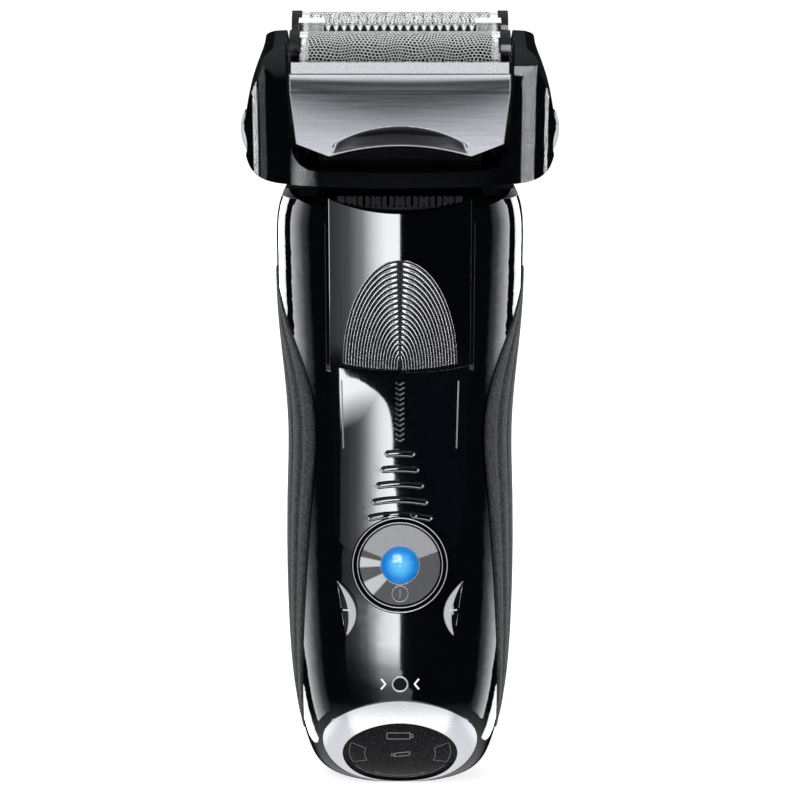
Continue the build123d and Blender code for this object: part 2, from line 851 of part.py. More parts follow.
with BuildPart() as release_button:
    with BuildSketch(RELEASE.offset(-1.4)):
        Ellipse(*RELEASE_SIZE)
    extrude(amount=5.0)
    with Locations(RELEASE.offset(RELEASE_DOME - RELEASE_SPHERE)):
        Sphere(RELEASE_SPHERE, mode=Mode.INTERSECT)
save("release_button_right", release_button.part)
save("release_button_left", mirrored(release_button.part))

# Linear motor in the head

MOTOR_SPAN = (FRAME_BASE[1], 13.5)
MOTOR_HALF_DEPTH = 10.5
DRIVES = [-FOIL_OFFSET, 0.0, FOIL_OFFSET]

with BuildPart() as motor_housing:
    height = MOTOR_SPAN[1] - MOTOR_SPAN[0]
    add(front_bar(32.8, height, MOTOR_SPAN[0], -MOTOR_HALF_DEPTH, 2 * MOTOR_HALF_DEPTH))
    add(front_bar(30.4, 5.6, MOTOR_SPAN[0] + 1.2, -9.3, 18.6), mode=Mode.SUBTRACT)
    with BuildSketch(HEAD.offset(11)):
        with Locations(*[(0, depth) for depth in DRIVES]):
            Rectangle(6.0, 3.4)
    extrude(amount=4, mode=Mode.SUBTRACT)
save("motor_housing", motor_housing.part)

with BuildPart() as winding:
    add(front_bar(4.4, 4.0, 6.4, -7.0, 14.0))
    add(front_bar(2.0, 5.0, 6.0, -4.0, 8.0), mode=Mode.SUBTRACT)
coil = Pos(12.6, 0, 0) * winding.part

with BuildPart() as motor_coil:
    add(coil)
    add(mirrored(coil))
save("motor_coil", motor_coil.part)

spring = Pos(9.7, 0, 0) * front_bar(0.3, 5.6, 5.9, -6.0, 12.0)

with BuildPart() as leaf_springs:
    add(spring)
    add(mirrored(spring))
save("leaf_springs", leaf_springs.part)

with BuildPart() as oscillator:
    add(front_bar(15.6, 3.6, 7.0, -8.6, 17.2))
    with BuildSketch(HEAD.offset(10.0)):
        with Locations((0, -FOIL_OFFSET), (0, FOIL_OFFSET)):
            Circle(1.35)
        Rectangle(1.6, 1.1)
    extrude(amount=10.3)
save("oscillator", oscillator.part)

# Cassette


def cassette_front():
    with BuildLine() as outline:
        waist = (CASSETTE_HALF_WIDTH, 21.4)
        corner = (CASSETTE_HALF_WIDTH, CASSETTE_TOP)
        Polyline((0, 9.6), (20.7, 9.6), waist, corner, (0, CASSETTE_TOP))
        mirror(about=Plane.YZ)
    make_face(outline.edges())


def cover_front():
    """Cover from the front: two low points and a shallow arch between them."""
    with BuildLine() as outline:
        half = CASSETTE_HALF_WIDTH
        top = BAR_SPAN[0]
        arch = ThreePointArc((-14.1, 8.0), (0, 10.2), (14.1, 8.0))
        Polyline(arch @ 1, (20.7, 10.7), (half, 21.4), (half, top))
        Polyline(arch @ 0, (-20.7, 10.7), (-half, 21.4), (-half, top))
        Line((-half, top), (half, top))
    make_face(outline.edges())


def cover_side():
    """Cover from the side: a bulging panel under a hollow band."""
    wall = -CASSETTE_HALF_DEPTH + 0.8
    with BuildLine() as outline:
        panel = ThreePointArc((-14.2, 8.0), (-14.45, 14.0), (-13.9, 21.4))
        band = ThreePointArc(panel @ 1, (-13.35, 23.1), (-13.5, BAR_SPAN[0]))
        Polyline(band @ 1, (wall, BAR_SPAN[0]), (wall, 8.0), panel @ 0)
    make_face(outline.edges())


with BuildPart() as cassette_frame:
    add(prism(HEAD_FRONT, -CASSETTE_HALF_DEPTH + 0.8, CASSETTE_HALF_DEPTH - 0.8, cassette_front))
    add(front_bar(40.8, 20, 9.0, -12.4, 24.8), mode=Mode.SUBTRACT)
save("cassette_frame", cassette_frame.part)

with BuildPart() as cassette_cover:
    add(prism(HEAD_SIDE, -30, 30, cover_side))
    add(prism(HEAD_FRONT, -20, 0, cover_front), mode=Mode.INTERSECT)
save("cassette_cover", cassette_cover.part)

save("cassette_rear_cover", mirror(cassette_cover.part, about=HEAD_FRONT))

bar = front_bar(43.0, BAR_SPAN[1] - BAR_SPAN[0], BAR_SPAN[0], -CASSETTE_HALF_DEPTH, 0.8)
with BuildPart() as cassette_bars:
    add(bar)
    add(mirror(bar, about=HEAD_FRONT))
save("cassette_bars", cassette_bars.part)

# Foils: front and rear are alike


def foil_outer():
    arch_section(FOIL_RADIUS, FOIL_BOTTOM)


def foil_inner():
    arch_section(FOIL_RADIUS - FOIL_THICKNESS, FOIL_BOTTOM)


def cap_section():
    arch_section(FOIL_RADIUS + 0.25, FOIL_BOTTOM)


def blade_section():
    arch_section(CUTTER_RADIUS, 25.0)


def foil_at(depth):
    with BuildPart() as foil:
        end = side_at(-FOIL_HALF_LENGTH, depth)
        add(prism(end, 0, 2 * FOIL_HALF_LENGTH, foil_outer))
        add(prism(end, 0, 2 * FOIL_HALF_LENGTH, foil_inner), mode=Mode.SUBTRACT)
    return foil.part


def foil_frame_at(depth):
    with BuildPart() as cap:
        end = side_at(FOIL_HALF_LENGTH, depth)
        add(prism(end, 0, CASSETTE_HALF_WIDTH - FOIL_HALF_LENGTH, cap_section))
        add(front_bar(60, CAP_BOTTOM - 20, 20, depth - 8, 16), mode=Mode.SUBTRACT)
        add(prism(end, 0, 0.4, foil_outer))
    with BuildPart() as caps:
        add(cap.part)
        add(mirrored(cap.part))
    return caps.part


def cutter_at(depth):
    """A row of round blades on a bar, with a socket below for the drive pin."""
    with BuildPart() as cutter:
        with BuildSketch(side_at(-BLADE_SPAN / 2 - BLADE_THICKNESS / 2, depth)):
            blade_section()
        extrude(amount=BLADE_THICKNESS)
    blade = cutter.part
    with BuildPart() as block:
        for step in range(BLADES):
            add(Pos(step * BLADE_SPAN / (BLADES - 1), 0, 0) * blade)
        add(front_bar(BLADE_SPAN, 2.6, 23.4, depth - 2.4, 4.8))
        add(front_bar(8.0, 5.4, 18.2, depth - 2.8, 5.6))
        add(front_bar(3.1, 4.4, 18.2, depth - 1.55, 3.1), mode=Mode.SUBTRACT)
    return block.part


for name, depth in (("front", -FOIL_OFFSET), ("rear", FOIL_OFFSET)):
    save(f"foil_{name}", foil_at(depth))
    save(f"foil_{name}_frame", foil_frame_at(depth))
    save(f"cutter_{name}", cutter_at(depth))

# Middle trimmer, between the foils

COMB_HALF_LENGTH = 20.3
COMB_TOP = 32.1
SLOTS = 19
SLOT_PITCH = 1.6

with BuildPart() as middle_comb:
    height = COMB_TOP - FOIL_BOTTOM
    add(front_bar(2 * COMB_HALF_LENGTH, height, FOIL_BOTTOM, -1.9, 3.8))
    add(front_bar(2 * COMB_HALF_LENGTH - 1.2, height - 0.5, FOIL_BOTTOM, -1.4, 2.8), mode=Mode.SUBTRACT)
    with BuildSketch(HEAD_FRONT.offset(-2.5)):
        with Locations((0, COMB_TOP)):
            with GridLocations(SLOT_PITCH, 1, SLOTS, 1):
                Rectangle(0.7, 4.0)
    extrude(amount=5.0, mode=Mode.SUBTRACT)
    # A spine keeps the teeth together.
    add(front_bar(2 * COMB_HALF_LENGTH, 0.5, COMB_TOP - 0.5, -0.45, 0.9))
save("middle_comb", middle_comb.part)

with BuildPart() as middle_cutter:
    add(front_bar(33.0, 7.2, 24.0, -1.15, 2.3))
    with BuildSketch(HEAD_FRONT.offset(-2.5)):
        with Locations((0, 31.2)):
            with GridLocations(SLOT_PITCH, 1, SLOTS, 1):
                Rectangle(0.8, 4.0)
    extrude(amount=5.0, mode=Mode.SUBTRACT)
    add(front_bar(6.0, 5.8, 18.2, -1.25, 2.5))
    add(front_bar(2.0, 4.6, 18.2, -0.8, 1.6), mode=Mode.SUBTRACT)
save("middle_cutter", middle_cutter.part)
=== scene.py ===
import json
import math

import bpy
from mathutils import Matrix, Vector
from mathutils.bvhtree import BVHTree


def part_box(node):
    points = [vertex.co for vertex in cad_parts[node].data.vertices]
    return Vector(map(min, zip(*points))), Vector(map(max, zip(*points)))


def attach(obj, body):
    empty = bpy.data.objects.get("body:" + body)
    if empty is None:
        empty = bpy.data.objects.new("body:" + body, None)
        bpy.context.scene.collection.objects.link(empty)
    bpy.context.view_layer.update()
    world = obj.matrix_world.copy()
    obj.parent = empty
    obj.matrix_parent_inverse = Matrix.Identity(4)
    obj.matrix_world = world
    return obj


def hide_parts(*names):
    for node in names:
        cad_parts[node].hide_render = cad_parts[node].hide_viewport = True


MM = 0.001


# ---------------------------------------------------------------- materials
def nodes_of(name):
    """A fresh node material with its principled shader."""
    mat = bpy.data.materials.new(name)
    mat.use_nodes = True
    tree = mat.node_tree
    return mat, tree, tree.nodes["Principled BSDF"]


def fine_noise(tree, scale, detail=3.0, stretch=None):
    """Object-space noise, in cells per metre, stretched along the axes."""
    coords = tree.nodes.new("ShaderNodeTexCoord")
    mapping = tree.nodes.new("ShaderNodeMapping")
    mapping.inputs["Scale"].default_value = stretch or (1, 1, 1)
    noise = tree.nodes.new("ShaderNodeTexNoise")
    noise.inputs["Scale"].default_value = scale
    noise.inputs["Detail"].default_value = detail
    tree.links.new(coords.outputs["Object"], mapping.inputs["Vector"])
    tree.links.new(mapping.outputs["Vector"], noise.inputs["Vector"])
    return noise


def ranged(tree, source, low, high, start=0.3, end=0.7):
    """Maps a value from start..end to low..high."""
    node = tree.nodes.new("ShaderNodeMapRange")
    node.inputs["From Min"].default_value = start
    node.inputs["From Max"].default_value = end
    node.inputs["To Min"].default_value = low
    node.inputs["To Max"].default_value = high
    tree.links.new(source, node.inputs["Value"])
    return node.outputs["Result"]


def tinted(tree, source, low, high, start=0.3, end=0.7):
    """Blends two colours by a value."""
    ramp = tree.nodes.new("ShaderNodeValToRGB")
    ramp.color_ramp.elements[0].position = start
    ramp.color_ramp.elements[1].position = end
    ramp.color_ramp.elements[0].color = (*low, 1)
    ramp.color_ramp.elements[1].color = (*high, 1)
    tree.links.new(source, ramp.inputs["Fac"])
    return ramp.outputs["Color"]


def bumped(tree, shader, source, strength, distance):
    """Raises the surface by a value, over this distance in metres."""
    bump = tree.nodes.new("ShaderNodeBump")
    bump.inputs["Strength"].default_value = strength
    bump.inputs["Distance"].default_value = distance
    tree.links.new(source, bump.inputs["Height"])
    tree.links.new(bump.outputs["Normal"], shader.inputs["Normal"])


def gloss(name, color, rough=0.04):
    """Deep gloss plastic with faint dust and hairline wear in its sheen."""
    mat, tree, shader = nodes_of(name)
    noise = fine_noise(tree, 900, 4)
    lighter = tuple(c * 1.5 + 0.0003 for c in color)
    tree.links.new(tinted(tree, noise.outputs["Fac"], color, lighter), shader.inputs["Base Color"])
    tree.links.new(ranged(tree, noise.outputs["Fac"], rough, rough * 1.6), shader.inputs["Roughness"])
    shader.inputs["IOR"].default_value = 1.52
    return mat


def edged_gloss(name, color, axis, start):
    """Gloss plastic that turns satin and dull beyond a distance in metres along an axis."""
    mat = gloss(name, color)
    tree = mat.node_tree
    shader = tree.nodes["Principled BSDF"]
    coords = tree.nodes.new("ShaderNodeTexCoord")
    split = tree.nodes.new("ShaderNodeSeparateXYZ")
    tree.links.new(coords.outputs["Object"], split.inputs["Vector"])
    reach = tree.nodes.new("ShaderNodeMath")
    reach.operation = "ABSOLUTE"
    tree.links.new(split.outputs[axis], reach.inputs[0])
    beyond = reach.outputs["Value"]
    end = start + 0.2 * MM
    tree.links.new(ranged(tree, beyond, 0.045, 0.6, start, end), shader.inputs["Roughness"])
    tree.links.new(ranged(tree, beyond, 0.5, 0.03, start, end), shader.inputs["Specular IOR Level"])
    return mat


def metal(name, color, rough=0.12, stretch=(1, 1, 1), scale=3000, depth=0.1):
    """Polished or drawn metal, its grain stretched along an axis."""
    mat, tree, shader = nodes_of(name)
    shader.inputs["Metallic"].default_value = 1
    noise = fine_noise(tree, scale, 4, stretch)
    darker = tuple(c * 0.88 for c in color)
    tree.links.new(tinted(tree, noise.outputs["Fac"], darker, color), shader.inputs["Base Color"])
    tree.links.new(ranged(tree, noise.outputs["Fac"], rough * 0.8, rough * 1.3), shader.inputs["Roughness"])
    bumped(tree, shader, noise.outputs["Fac"], depth, 0.02 * MM)
    return mat


def matte(name, color, rough=0.5):
    """Moulded plastic with a fine grain."""
    mat, tree, shader = nodes_of(name)
    noise = fine_noise(tree, 4000, 2)
    lighter = tuple(c * 1.5 + 0.001 for c in color)
    tree.links.new(tinted(tree, noise.outputs["Fac"], color, lighter), shader.inputs["Base Color"])
    tree.links.new(ranged(tree, noise.outputs["Fac"], rough * 0.85, rough * 1.2), shader.inputs["Roughness"])
    bumped(tree, shader, noise.outputs["Fac"], 0.3, 0.03 * MM)
    return mat


def rubber(name, color, glint):
    """Soft rubber with small lighter glints in a fine grain."""
    mat, tree, shader = nodes_of(name)
    noise = fine_noise(tree, 2600, 3)
    tree.links.new(tinted(tree, noise.outputs["Fac"], color, glint, 0.42, 0.72), shader.inputs["Base Color"])
    tree.links.new(ranged(tree, noise.outputs["Fac"], 0.62, 0.45), shader.inputs["Roughness"])
    bumped(tree, shader, noise.outputs["Fac"], 0.8, 0.06 * MM)
    return mat


def speckled(name, color, speck):
    """Clear window over a dark board with sparse pale specks."""
    mat, tree, shader = nodes_of(name)
    noise = fine_noise(tree, 3500, 1)
    tree.links.new(tinted(tree, noise.outputs["Fac"], color, speck, 0.6, 0.75), shader.inputs["Base Color"])
    shader.inputs["Roughness"].default_value = 0.06
    shader.inputs["Specular IOR Level"].default_value = 0.12
    return mat


# ---------------------------------------------------------------- the frame
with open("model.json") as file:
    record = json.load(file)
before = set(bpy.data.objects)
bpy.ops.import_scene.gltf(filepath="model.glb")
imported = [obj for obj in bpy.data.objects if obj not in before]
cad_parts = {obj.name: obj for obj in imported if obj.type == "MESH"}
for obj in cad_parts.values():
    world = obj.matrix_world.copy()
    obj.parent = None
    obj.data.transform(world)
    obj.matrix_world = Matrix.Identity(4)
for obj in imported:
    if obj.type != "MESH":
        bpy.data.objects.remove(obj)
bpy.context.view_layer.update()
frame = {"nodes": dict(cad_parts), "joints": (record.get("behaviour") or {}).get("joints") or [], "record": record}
nodes = frame["nodes"]

BLACK = (0.0004, 0.0007, 0.0011)
LOOKS = {
    "shell_gloss": gloss("shell_gloss", BLACK),
    "back_satin": matte("back_satin", (0.006, 0.0065, 0.0075), 0.35),
    "grip_rubber": rubber("grip_rubber", (0.011, 0.012, 0.014), (0.06, 0.062, 0.066)),
    "panel_gloss": gloss("panel_gloss", BLACK, 0.03),
    "satin_silver": metal("satin_silver", (0.84, 0.85, 0.86), 0.2, depth=0.0),
    "window_dark": speckled("window_dark", (0.0016, 0.0016, 0.002), (0.035, 0.035, 0.038)),
    "board_dark": matte("board_dark", (0.04, 0.05, 0.05)),
    "spun_metal": metal("spun_metal", (0.6, 0.6, 0.61), 0.25),
    "lens_blue": gloss("lens_blue", (0.01, 0.25, 0.75), 0.05),
    "key_black": gloss("key_black", (0.0012, 0.0015, 0.002), 0.06),
    "cap_black": matte("cap_black", (0.006, 0.006, 0.007), 0.35),
    "contact_metal": metal("contact_metal", (0.78, 0.6, 0.3), 0.2),
    "inner_plastic": matte("inner_plastic", (0.3, 0.31, 0.32)),
    "battery_wrap": gloss("battery_wrap", (0.06, 0.25, 0.12), 0.25),
    "board_green": matte("board_green", (0.03, 0.2, 0.07)),
    "steel": metal("steel", (0.6, 0.6, 0.61), 0.2),
    "blade_steel": metal("blade_steel", (0.84, 0.9, 0.86), 0.16),
    "seal_rubber": matte("seal_rubber", (0.004, 0.004, 0.005), 0.5),
    "pad_ridges": gloss("pad_ridges", (0.002, 0.002, 0.0025), 0.1),
    "head_gloss": gloss("head_gloss", BLACK, 0.04),
    "release_chrome": metal("release_chrome", (0.75, 0.76, 0.78), 0.12),
    "coil_copper": metal("coil_copper", (0.7, 0.33, 0.15), 0.3),
    "cassette_black": gloss("cassette_black", (0.0012, 0.0013, 0.0018), 0.1),
    "cover_chrome": metal("cover_chrome", (0.62, 0.62, 0.66), 0.07, (0.05, 1, 1), 2000, 0.04),
    "foil_steel": metal("foil_steel", (0.86, 0.86, 0.84), 0.25),
}
# Steel parts that sit in shade get a near-black copy of the steel: painted shade.
STEEL_IN_PAINTED_SHADE = metal("steel_painted_shade", (0.06, 0.062, 0.066), 0.16)
IN_SHADE = ("trimmer_comb", "trimmer_cutter", "neck_stops", "cutter_front", "cutter_rear", "middle_cutter")
SLIDER_FLANGE = 14.25 * MM
NECK = 124.5 * MM
LOOK_OF = {name: STEEL_IN_PAINTED_SHADE for name in IN_SHADE}
LOOK_OF["trimmer_slider"] = edged_gloss("slider_gloss", BLACK, "X", SLIDER_FLANGE)
LOOK_OF["front_shell"] = edged_gloss("front_gloss", BLACK, "Z", NECK)
SLOT_OF = {part["node"]: part["material_slot"] for part in frame["record"]["subparts"]}
for name, obj in nodes.items():
    obj.data.materials.clear()
    obj.data.materials.append(LOOK_OF.get(name, LOOKS[SLOT_OF[name]]))

# ---------------------------------------------------------------- placing
joints = {joint["name"]: joint for joint in frame["joints"]}
PIVOT = Vector(joints["head_tilt"]["pos_m"])
HEAD_UP = Vector(joints["cassette_lift"]["axis"])
HEAD_BACK = HEAD_UP.cross(Vector((1, 0, 0)))
SLIDE_UP = Vector(joints["trimmer_slide"]["axis"])
SLIDE_IN = SLIDE_UP.cross(Vector((1, 0, 0)))


def in_head(x, depth, height):
    """A point given in millimetres in the head's own leaning frame."""
    return PIVOT + (Vector((x, 0, 0)) + HEAD_BACK * depth + HEAD_UP * height) * MM


def tree_of(*names):
    """A ray-casting tree of some CAD nodes."""
    points, faces = [], []
    for name in names:
        mesh = nodes[name].data
        start = len(points)
        points += [v.co.copy() for v in mesh.vertices]
        faces += [[start + i for i in p.vertices] for p in mesh.polygons]
    return BVHTree.FromPolygons(points, faces)


class Face:
    """A flat drawing frame in front of some CAD nodes; what is drawn on it lands on their surface."""

    def __init__(self, origin, out, *names):
        self.origin = Vector(origin)
        self.out = Vector(out).normalized()
        self.right = Vector((0, 0, 1)).cross(self.out).normalized()
        self.up = self.out.cross(self.right)
        self.tree = tree_of(*names)

    def land(self, across, along, lift=0.0):
        """Where a point of the drawing, in millimetres, meets the surface, raised by lift."""
        start = self.origin + (self.right * across + self.up * along + self.out * 30) * MM
        spot = self.tree.ray_cast(start, -self.out)[0]
        if spot is None:
            spot = self.tree.find_nearest(start - self.out * 30 * MM)[0]
        return spot + self.out * lift * MM


def piece(name, data, mat, body, slot, *replaced):
    """Adds a new piece to the object, on its body."""
    obj = bpy.data.objects.new(name, data)
    bpy.context.scene.collection.objects.link(obj)
    data.materials.append(mat)
    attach(obj, body)
    if replaced:
        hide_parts(*replaced)
    return obj


def mesh_of(name, points, faces, smooth=True):
    """A mesh from points in metres."""
    mesh = bpy.data.meshes.new(name)
    mesh.from_pydata([tuple(p) for p in points], [], faces)
    mesh.update()
    mesh.polygons.foreach_set("use_smooth", [smooth] * len(mesh.polygons))
    return mesh


def grid_faces(rows, columns, flip=False):
    """Faces of a grid of rows by columns points, turned over on request."""
    faces = []
    for row in range(rows - 1):
        for column in range(columns - 1):
            near, far = row * columns + column, (row + 1) * columns + column
            quad = (near, near + 1, far + 1, far)
            faces.append(quad[::-1] if flip else quad)
    return faces


def dense(path, step=0.4):
    """The same path with its runs divided."""
    points = [path[0]]
    for (x0, y0), (x1, y1) in zip(path, path[1:]):
        parts = max(1, round(math.hypot(x1 - x0, y1 - y0) / step))
        points += [(x0 + (x1 - x0) * k / parts, y0 + (y1 - y0) * k / parts) for k in range(1, parts + 1)]
    return points


def round_path(radius, centre=(0, 0), start=0, end=360, flat=1.0, steps=40):
    """An arc between two angles in degrees, flattened upwards by a factor."""
    turns = [math.radians(start + (end - start) * k / steps) for k in range(steps + 1)]
    return [(centre[0] + radius * math.cos(t), centre[1] + radius * flat * math.sin(t)) for t in turns]


def marks(name, face, paths, radius, mat, body, slot, lift=0.0):
    """Thin round lines that stand half out of the surface."""
    curve = bpy.data.curves.new(name, "CURVE")
    curve.dimensions = "3D"
    curve.bevel_depth = radius * MM
    curve.bevel_resolution = 3
    curve.use_fill_caps = True
    for path in paths:
        points = [face.land(x, y, lift) for x, y in dense(path)]
        spline = curve.splines.new("POLY")
        spline.points.add(len(points) - 1)
        for target, point in zip(spline.points, points):
            target.co = (*point, 1)
        spline.use_smooth = True
    return piece(name, curve, mat, body, slot)


# ---------------------------------------------------------------- thumb pad
RIDGES = 20
PAD_TRIM = 0.992  # share of the pad's outline that is sampled, to stay off its rim
PAD_SINK, PAD_CREST = 0.46, 0.42


def ridged_pad(side, name):
    """Nested arched ridges on one half of the trimmer's thumb pad."""
    low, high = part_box("thumb_pad")
    half, foot = high.x / MM, low.z / MM + 1.2
    tall = high.z / MM - foot
    face = Face((0, 0, 0), (0, -1, 0), "thumb_pad")
    outward = -SLIDE_IN
    rings, steps = RIDGES * 8, 56
    points = []
    for ring in range(rings + 1):
        share = ring / rings
        wave = (0.5 + 0.5 * math.cos(2 * math.pi * RIDGES * share)) ** 0.8
        for step in range(steps + 1):
            turn = math.pi / 2 * step / steps
            x = half * share * math.cos(turn)
            fade = min(1.0, x / (0.35 + 1.5 * share))
            crest = wave * fade * fade * (3 - 2 * fade)
            dip = 1.2 * (1 - (x / half) ** 2) * (1 - math.sin(turn)) ** 2
            z = foot + tall * share * math.sin(turn) - dip
            spot = face.land(side * x * PAD_TRIM, foot + (z - foot) * PAD_TRIM + 0.08)
            spot.x = side * x * MM
            spot.z = z * MM
            points.append(spot + outward * (-PAD_SINK + PAD_CREST * crest) * MM)
    edge = [point - outward * 0.9 * MM for point in points[-steps - 1:]]
    mesh = mesh_of(name, points + edge, grid_faces(rings + 2, steps + 1, side < 0))
    piece(name, mesh, LOOKS["pad_ridges"], "trimmer_slider", "pad_ridges", "thumb_pad")


ridged_pad(-1, "ridged_pad_left")
ridged_pad(1, "ridged_pad_right")

# ---------------------------------------------------------------- grips
FOLDS = (2.4, 5.6, 9.0)  # millimetres behind the grip's front edge
FOLD_SINK, FOLD_HALF_WIDTH = 0.5, 1.1


def span_at(mesh, height):
    """Front and back of a mesh where it is cut level at this height."""
    cuts = []
    for edge in mesh.edges:
        a, b = (mesh.vertices[k].co for k in edge.vertices)
        if (a.z - height) * (b.z - height) < 0:
            cuts.append(a.y + (b.y - a.y) * (height - a.z) / (b.z - a.z))
    return min(cuts), max(cuts)


def folded_grip(side, node):
    """A side grip with soft folds that follow its front edge, and an edge that turns under."""
    low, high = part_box(node)
    tree = tree_of(node)
    rows, columns = 150, 90
    points = []
    for row in range(rows + 1):
        z = low.z + (high.z - low.z) * (0.004 + 0.992 * row / rows)
        front, back = span_at(nodes[node].data, z)
        room = min(1.0, (back - front) / (8 * MM))
        for column in range(columns + 1):
            share = min(1.0, max(0.0, (column - 1) / (columns - 2)))
            y = front + (back - front) * (0.01 + 0.98 * share)
            spot, normal = tree.ray_cast(Vector((side * 0.04, y, z)), Vector((-side, 0, 0)))[:2]
            if spot is None:
                spot, normal = tree.find_nearest(Vector((side * 0.03, y, z)))[:2]
            depth = (y - front) / MM
            rim = min(y - front, back - y, (z - low.z) / 2, (high.z - z) / 2) / MM
            sink = 0.04 + 0.25 * max(0.0, 1 - rim / 0.5) ** 2
            for fold in FOLDS:
                sink += FOLD_SINK * room * max(0.0, 1 - abs(depth - fold) / FOLD_HALF_WIDTH) ** 2
            if column in (0, columns):
                sink = 1.1
            points.append(spot - normal * sink * MM)
    mesh = mesh_of(f"folded_{node}", points, grid_faces(rows + 1, columns + 1, side < 0))
    piece(f"folded_{node}", mesh, LOOKS["grip_rubber"], "handle", "grip_rubber", node)


folded_grip(-1, "left_grip")
folded_grip(1, "right_grip")

# ---------------------------------------------------------------- foils
CROWN, ARCH, LEG = 31.6, 4.9, 22.0
FOIL_DEPTH, FOIL_HALF_LENGTH = 7.3, 19.9
HOLE_PITCH, HOLE_SHARE = 0.68, 0.8


def arch_point(x, along, depth):
    """A point on a foil; along runs over the arch from its front leg to its back leg."""
    centre = CROWN - ARCH
    quarter = ARCH * math.pi / 2
    if abs(along) <= quarter:
        turn = along / ARCH
        return in_head(x, depth + ARCH * math.sin(turn), centre + ARCH * math.cos(turn))
    down = abs(along) - quarter
    return in_head(x, depth + math.copysign(ARCH, along), centre - down)


def thicken(obj, thickness, offset):
    """Gives a surface a thickness in millimetres, inwards for offset -1 and outwards for 1."""
    thick = obj.modifiers.new("thickness", "SOLIDIFY")
    thick.thickness = thickness * MM
    thick.offset = offset


def foil(name, node, body, depth):
    """A foil with a real hole in each cell of a wavy honeycomb."""
    length, reach = FOIL_HALF_LENGTH, ARCH * math.pi / 2
    leg = CROWN - ARCH - LEG
    row_step = HOLE_PITCH * math.sqrt(3) / 2
    rows = int(2 * reach / row_step) // 2
    columns = int(2 * (length - 0.9) / HOLE_PITCH) // 2
    corner_of, points, faces = {}, [], []

    def warped(x, s):
        swing = 0.30 * math.sin(0.62 * x + 0.5 * s) + 0.22 * math.sin(1.1 * s - 0.23 * x)
        lift = 0.22 * math.sin(0.8 * x - 0.35 * s)
        fade = min(1, (length - abs(x)) / 1.5, (reach + 0.3 - abs(s)) / 1.0)
        return x + swing * max(fade, 0), s + lift * max(fade, 0)

    def shared(x, s):
        key = (round(x * 50), round(s * 50))
        if key not in corner_of:
            corner_of[key] = len(points)
            wx, ws = warped(x, s)
            if abs(x) > columns * HOLE_PITCH + 0.05:
                wx = math.copysign(length, x)
            if abs(s) > rows * row_step + 0.05:
                ws = math.copysign(reach + leg, s)
            points.append(arch_point(wx, ws, depth))
        return corner_of[key]

    for row in range(-rows, rows + 1):
        shift = HOLE_PITCH / 2 if row % 2 else 0
        for column in range(-columns, columns + (0 if row % 2 else 1)):
            x, s = column * HOLE_PITCH + shift, row * row_step
            turns = [math.radians(30 + 60 * k) for k in range(6)]
            rim = HOLE_PITCH / math.sqrt(3)
            outer = [shared(x + rim * math.cos(t), s + rim * math.sin(t)) for t in turns]
            inner = []
            for t in turns:
                wx, ws = warped(x + HOLE_SHARE * rim * math.cos(t), s + HOLE_SHARE * rim * math.sin(t))
                inner.append(len(points))
                points.append(arch_point(wx, ws, depth))
            for k in range(6):
                m = (k + 1) % 6
                faces.append((outer[k], outer[m], inner[m], inner[k]))
    border = columns * HOLE_PITCH - 0.3
    bands = 24
    for end in (-1, 1):
        start = len(points)
        for band in range(bands + 1):
            along = (reach + leg) * (2 * band / bands - 1)
            points += [arch_point(end * border, along, depth), arch_point(end * length, along, depth)]
        faces += [tuple(start + k for k in quad) for quad in grid_faces(bands + 1, 2, end < 0)]
    mesh = mesh_of(name, points, faces)
    obj = piece(name, mesh, LOOKS["foil_steel"], body, "foil_steel", node)
    thicken(obj, 0.07, -1)


def foil_tabs(name, body, depth):
    """Small bright folded tabs at both ends of a foil."""
    points, faces = [], []
    for end in (-1, 1):
        start = len(points)
        for x in (18.3, 19.8):
            for along in (-2.2, -1.5, -0.8, 0.2):
                crest = 0.16 if along in (-1.5, -0.8) else 0.03
                spot = arch_point(end * x, along, depth)
                points.append(spot + (HEAD_UP - HEAD_BACK * 0.4) * crest * MM)
        faces += [tuple(start + k for k in quad) for quad in grid_faces(2, 4, end > 0)]
    mesh = mesh_of(name, points, faces, False)
    thicken(piece(name, mesh, LOOKS["satin_silver"], body, "foil_steel"), 0.12, -1)


foil("perforated_foil_front", "foil_front", "foil_front", -FOIL_DEPTH)
foil("perforated_foil_rear", "foil_rear", "foil_rear", FOIL_DEPTH)
foil_tabs("foil_tabs_front", "foil_front", -FOIL_DEPTH)
foil_tabs("foil_tabs_rear", "foil_rear", FOIL_DEPTH)


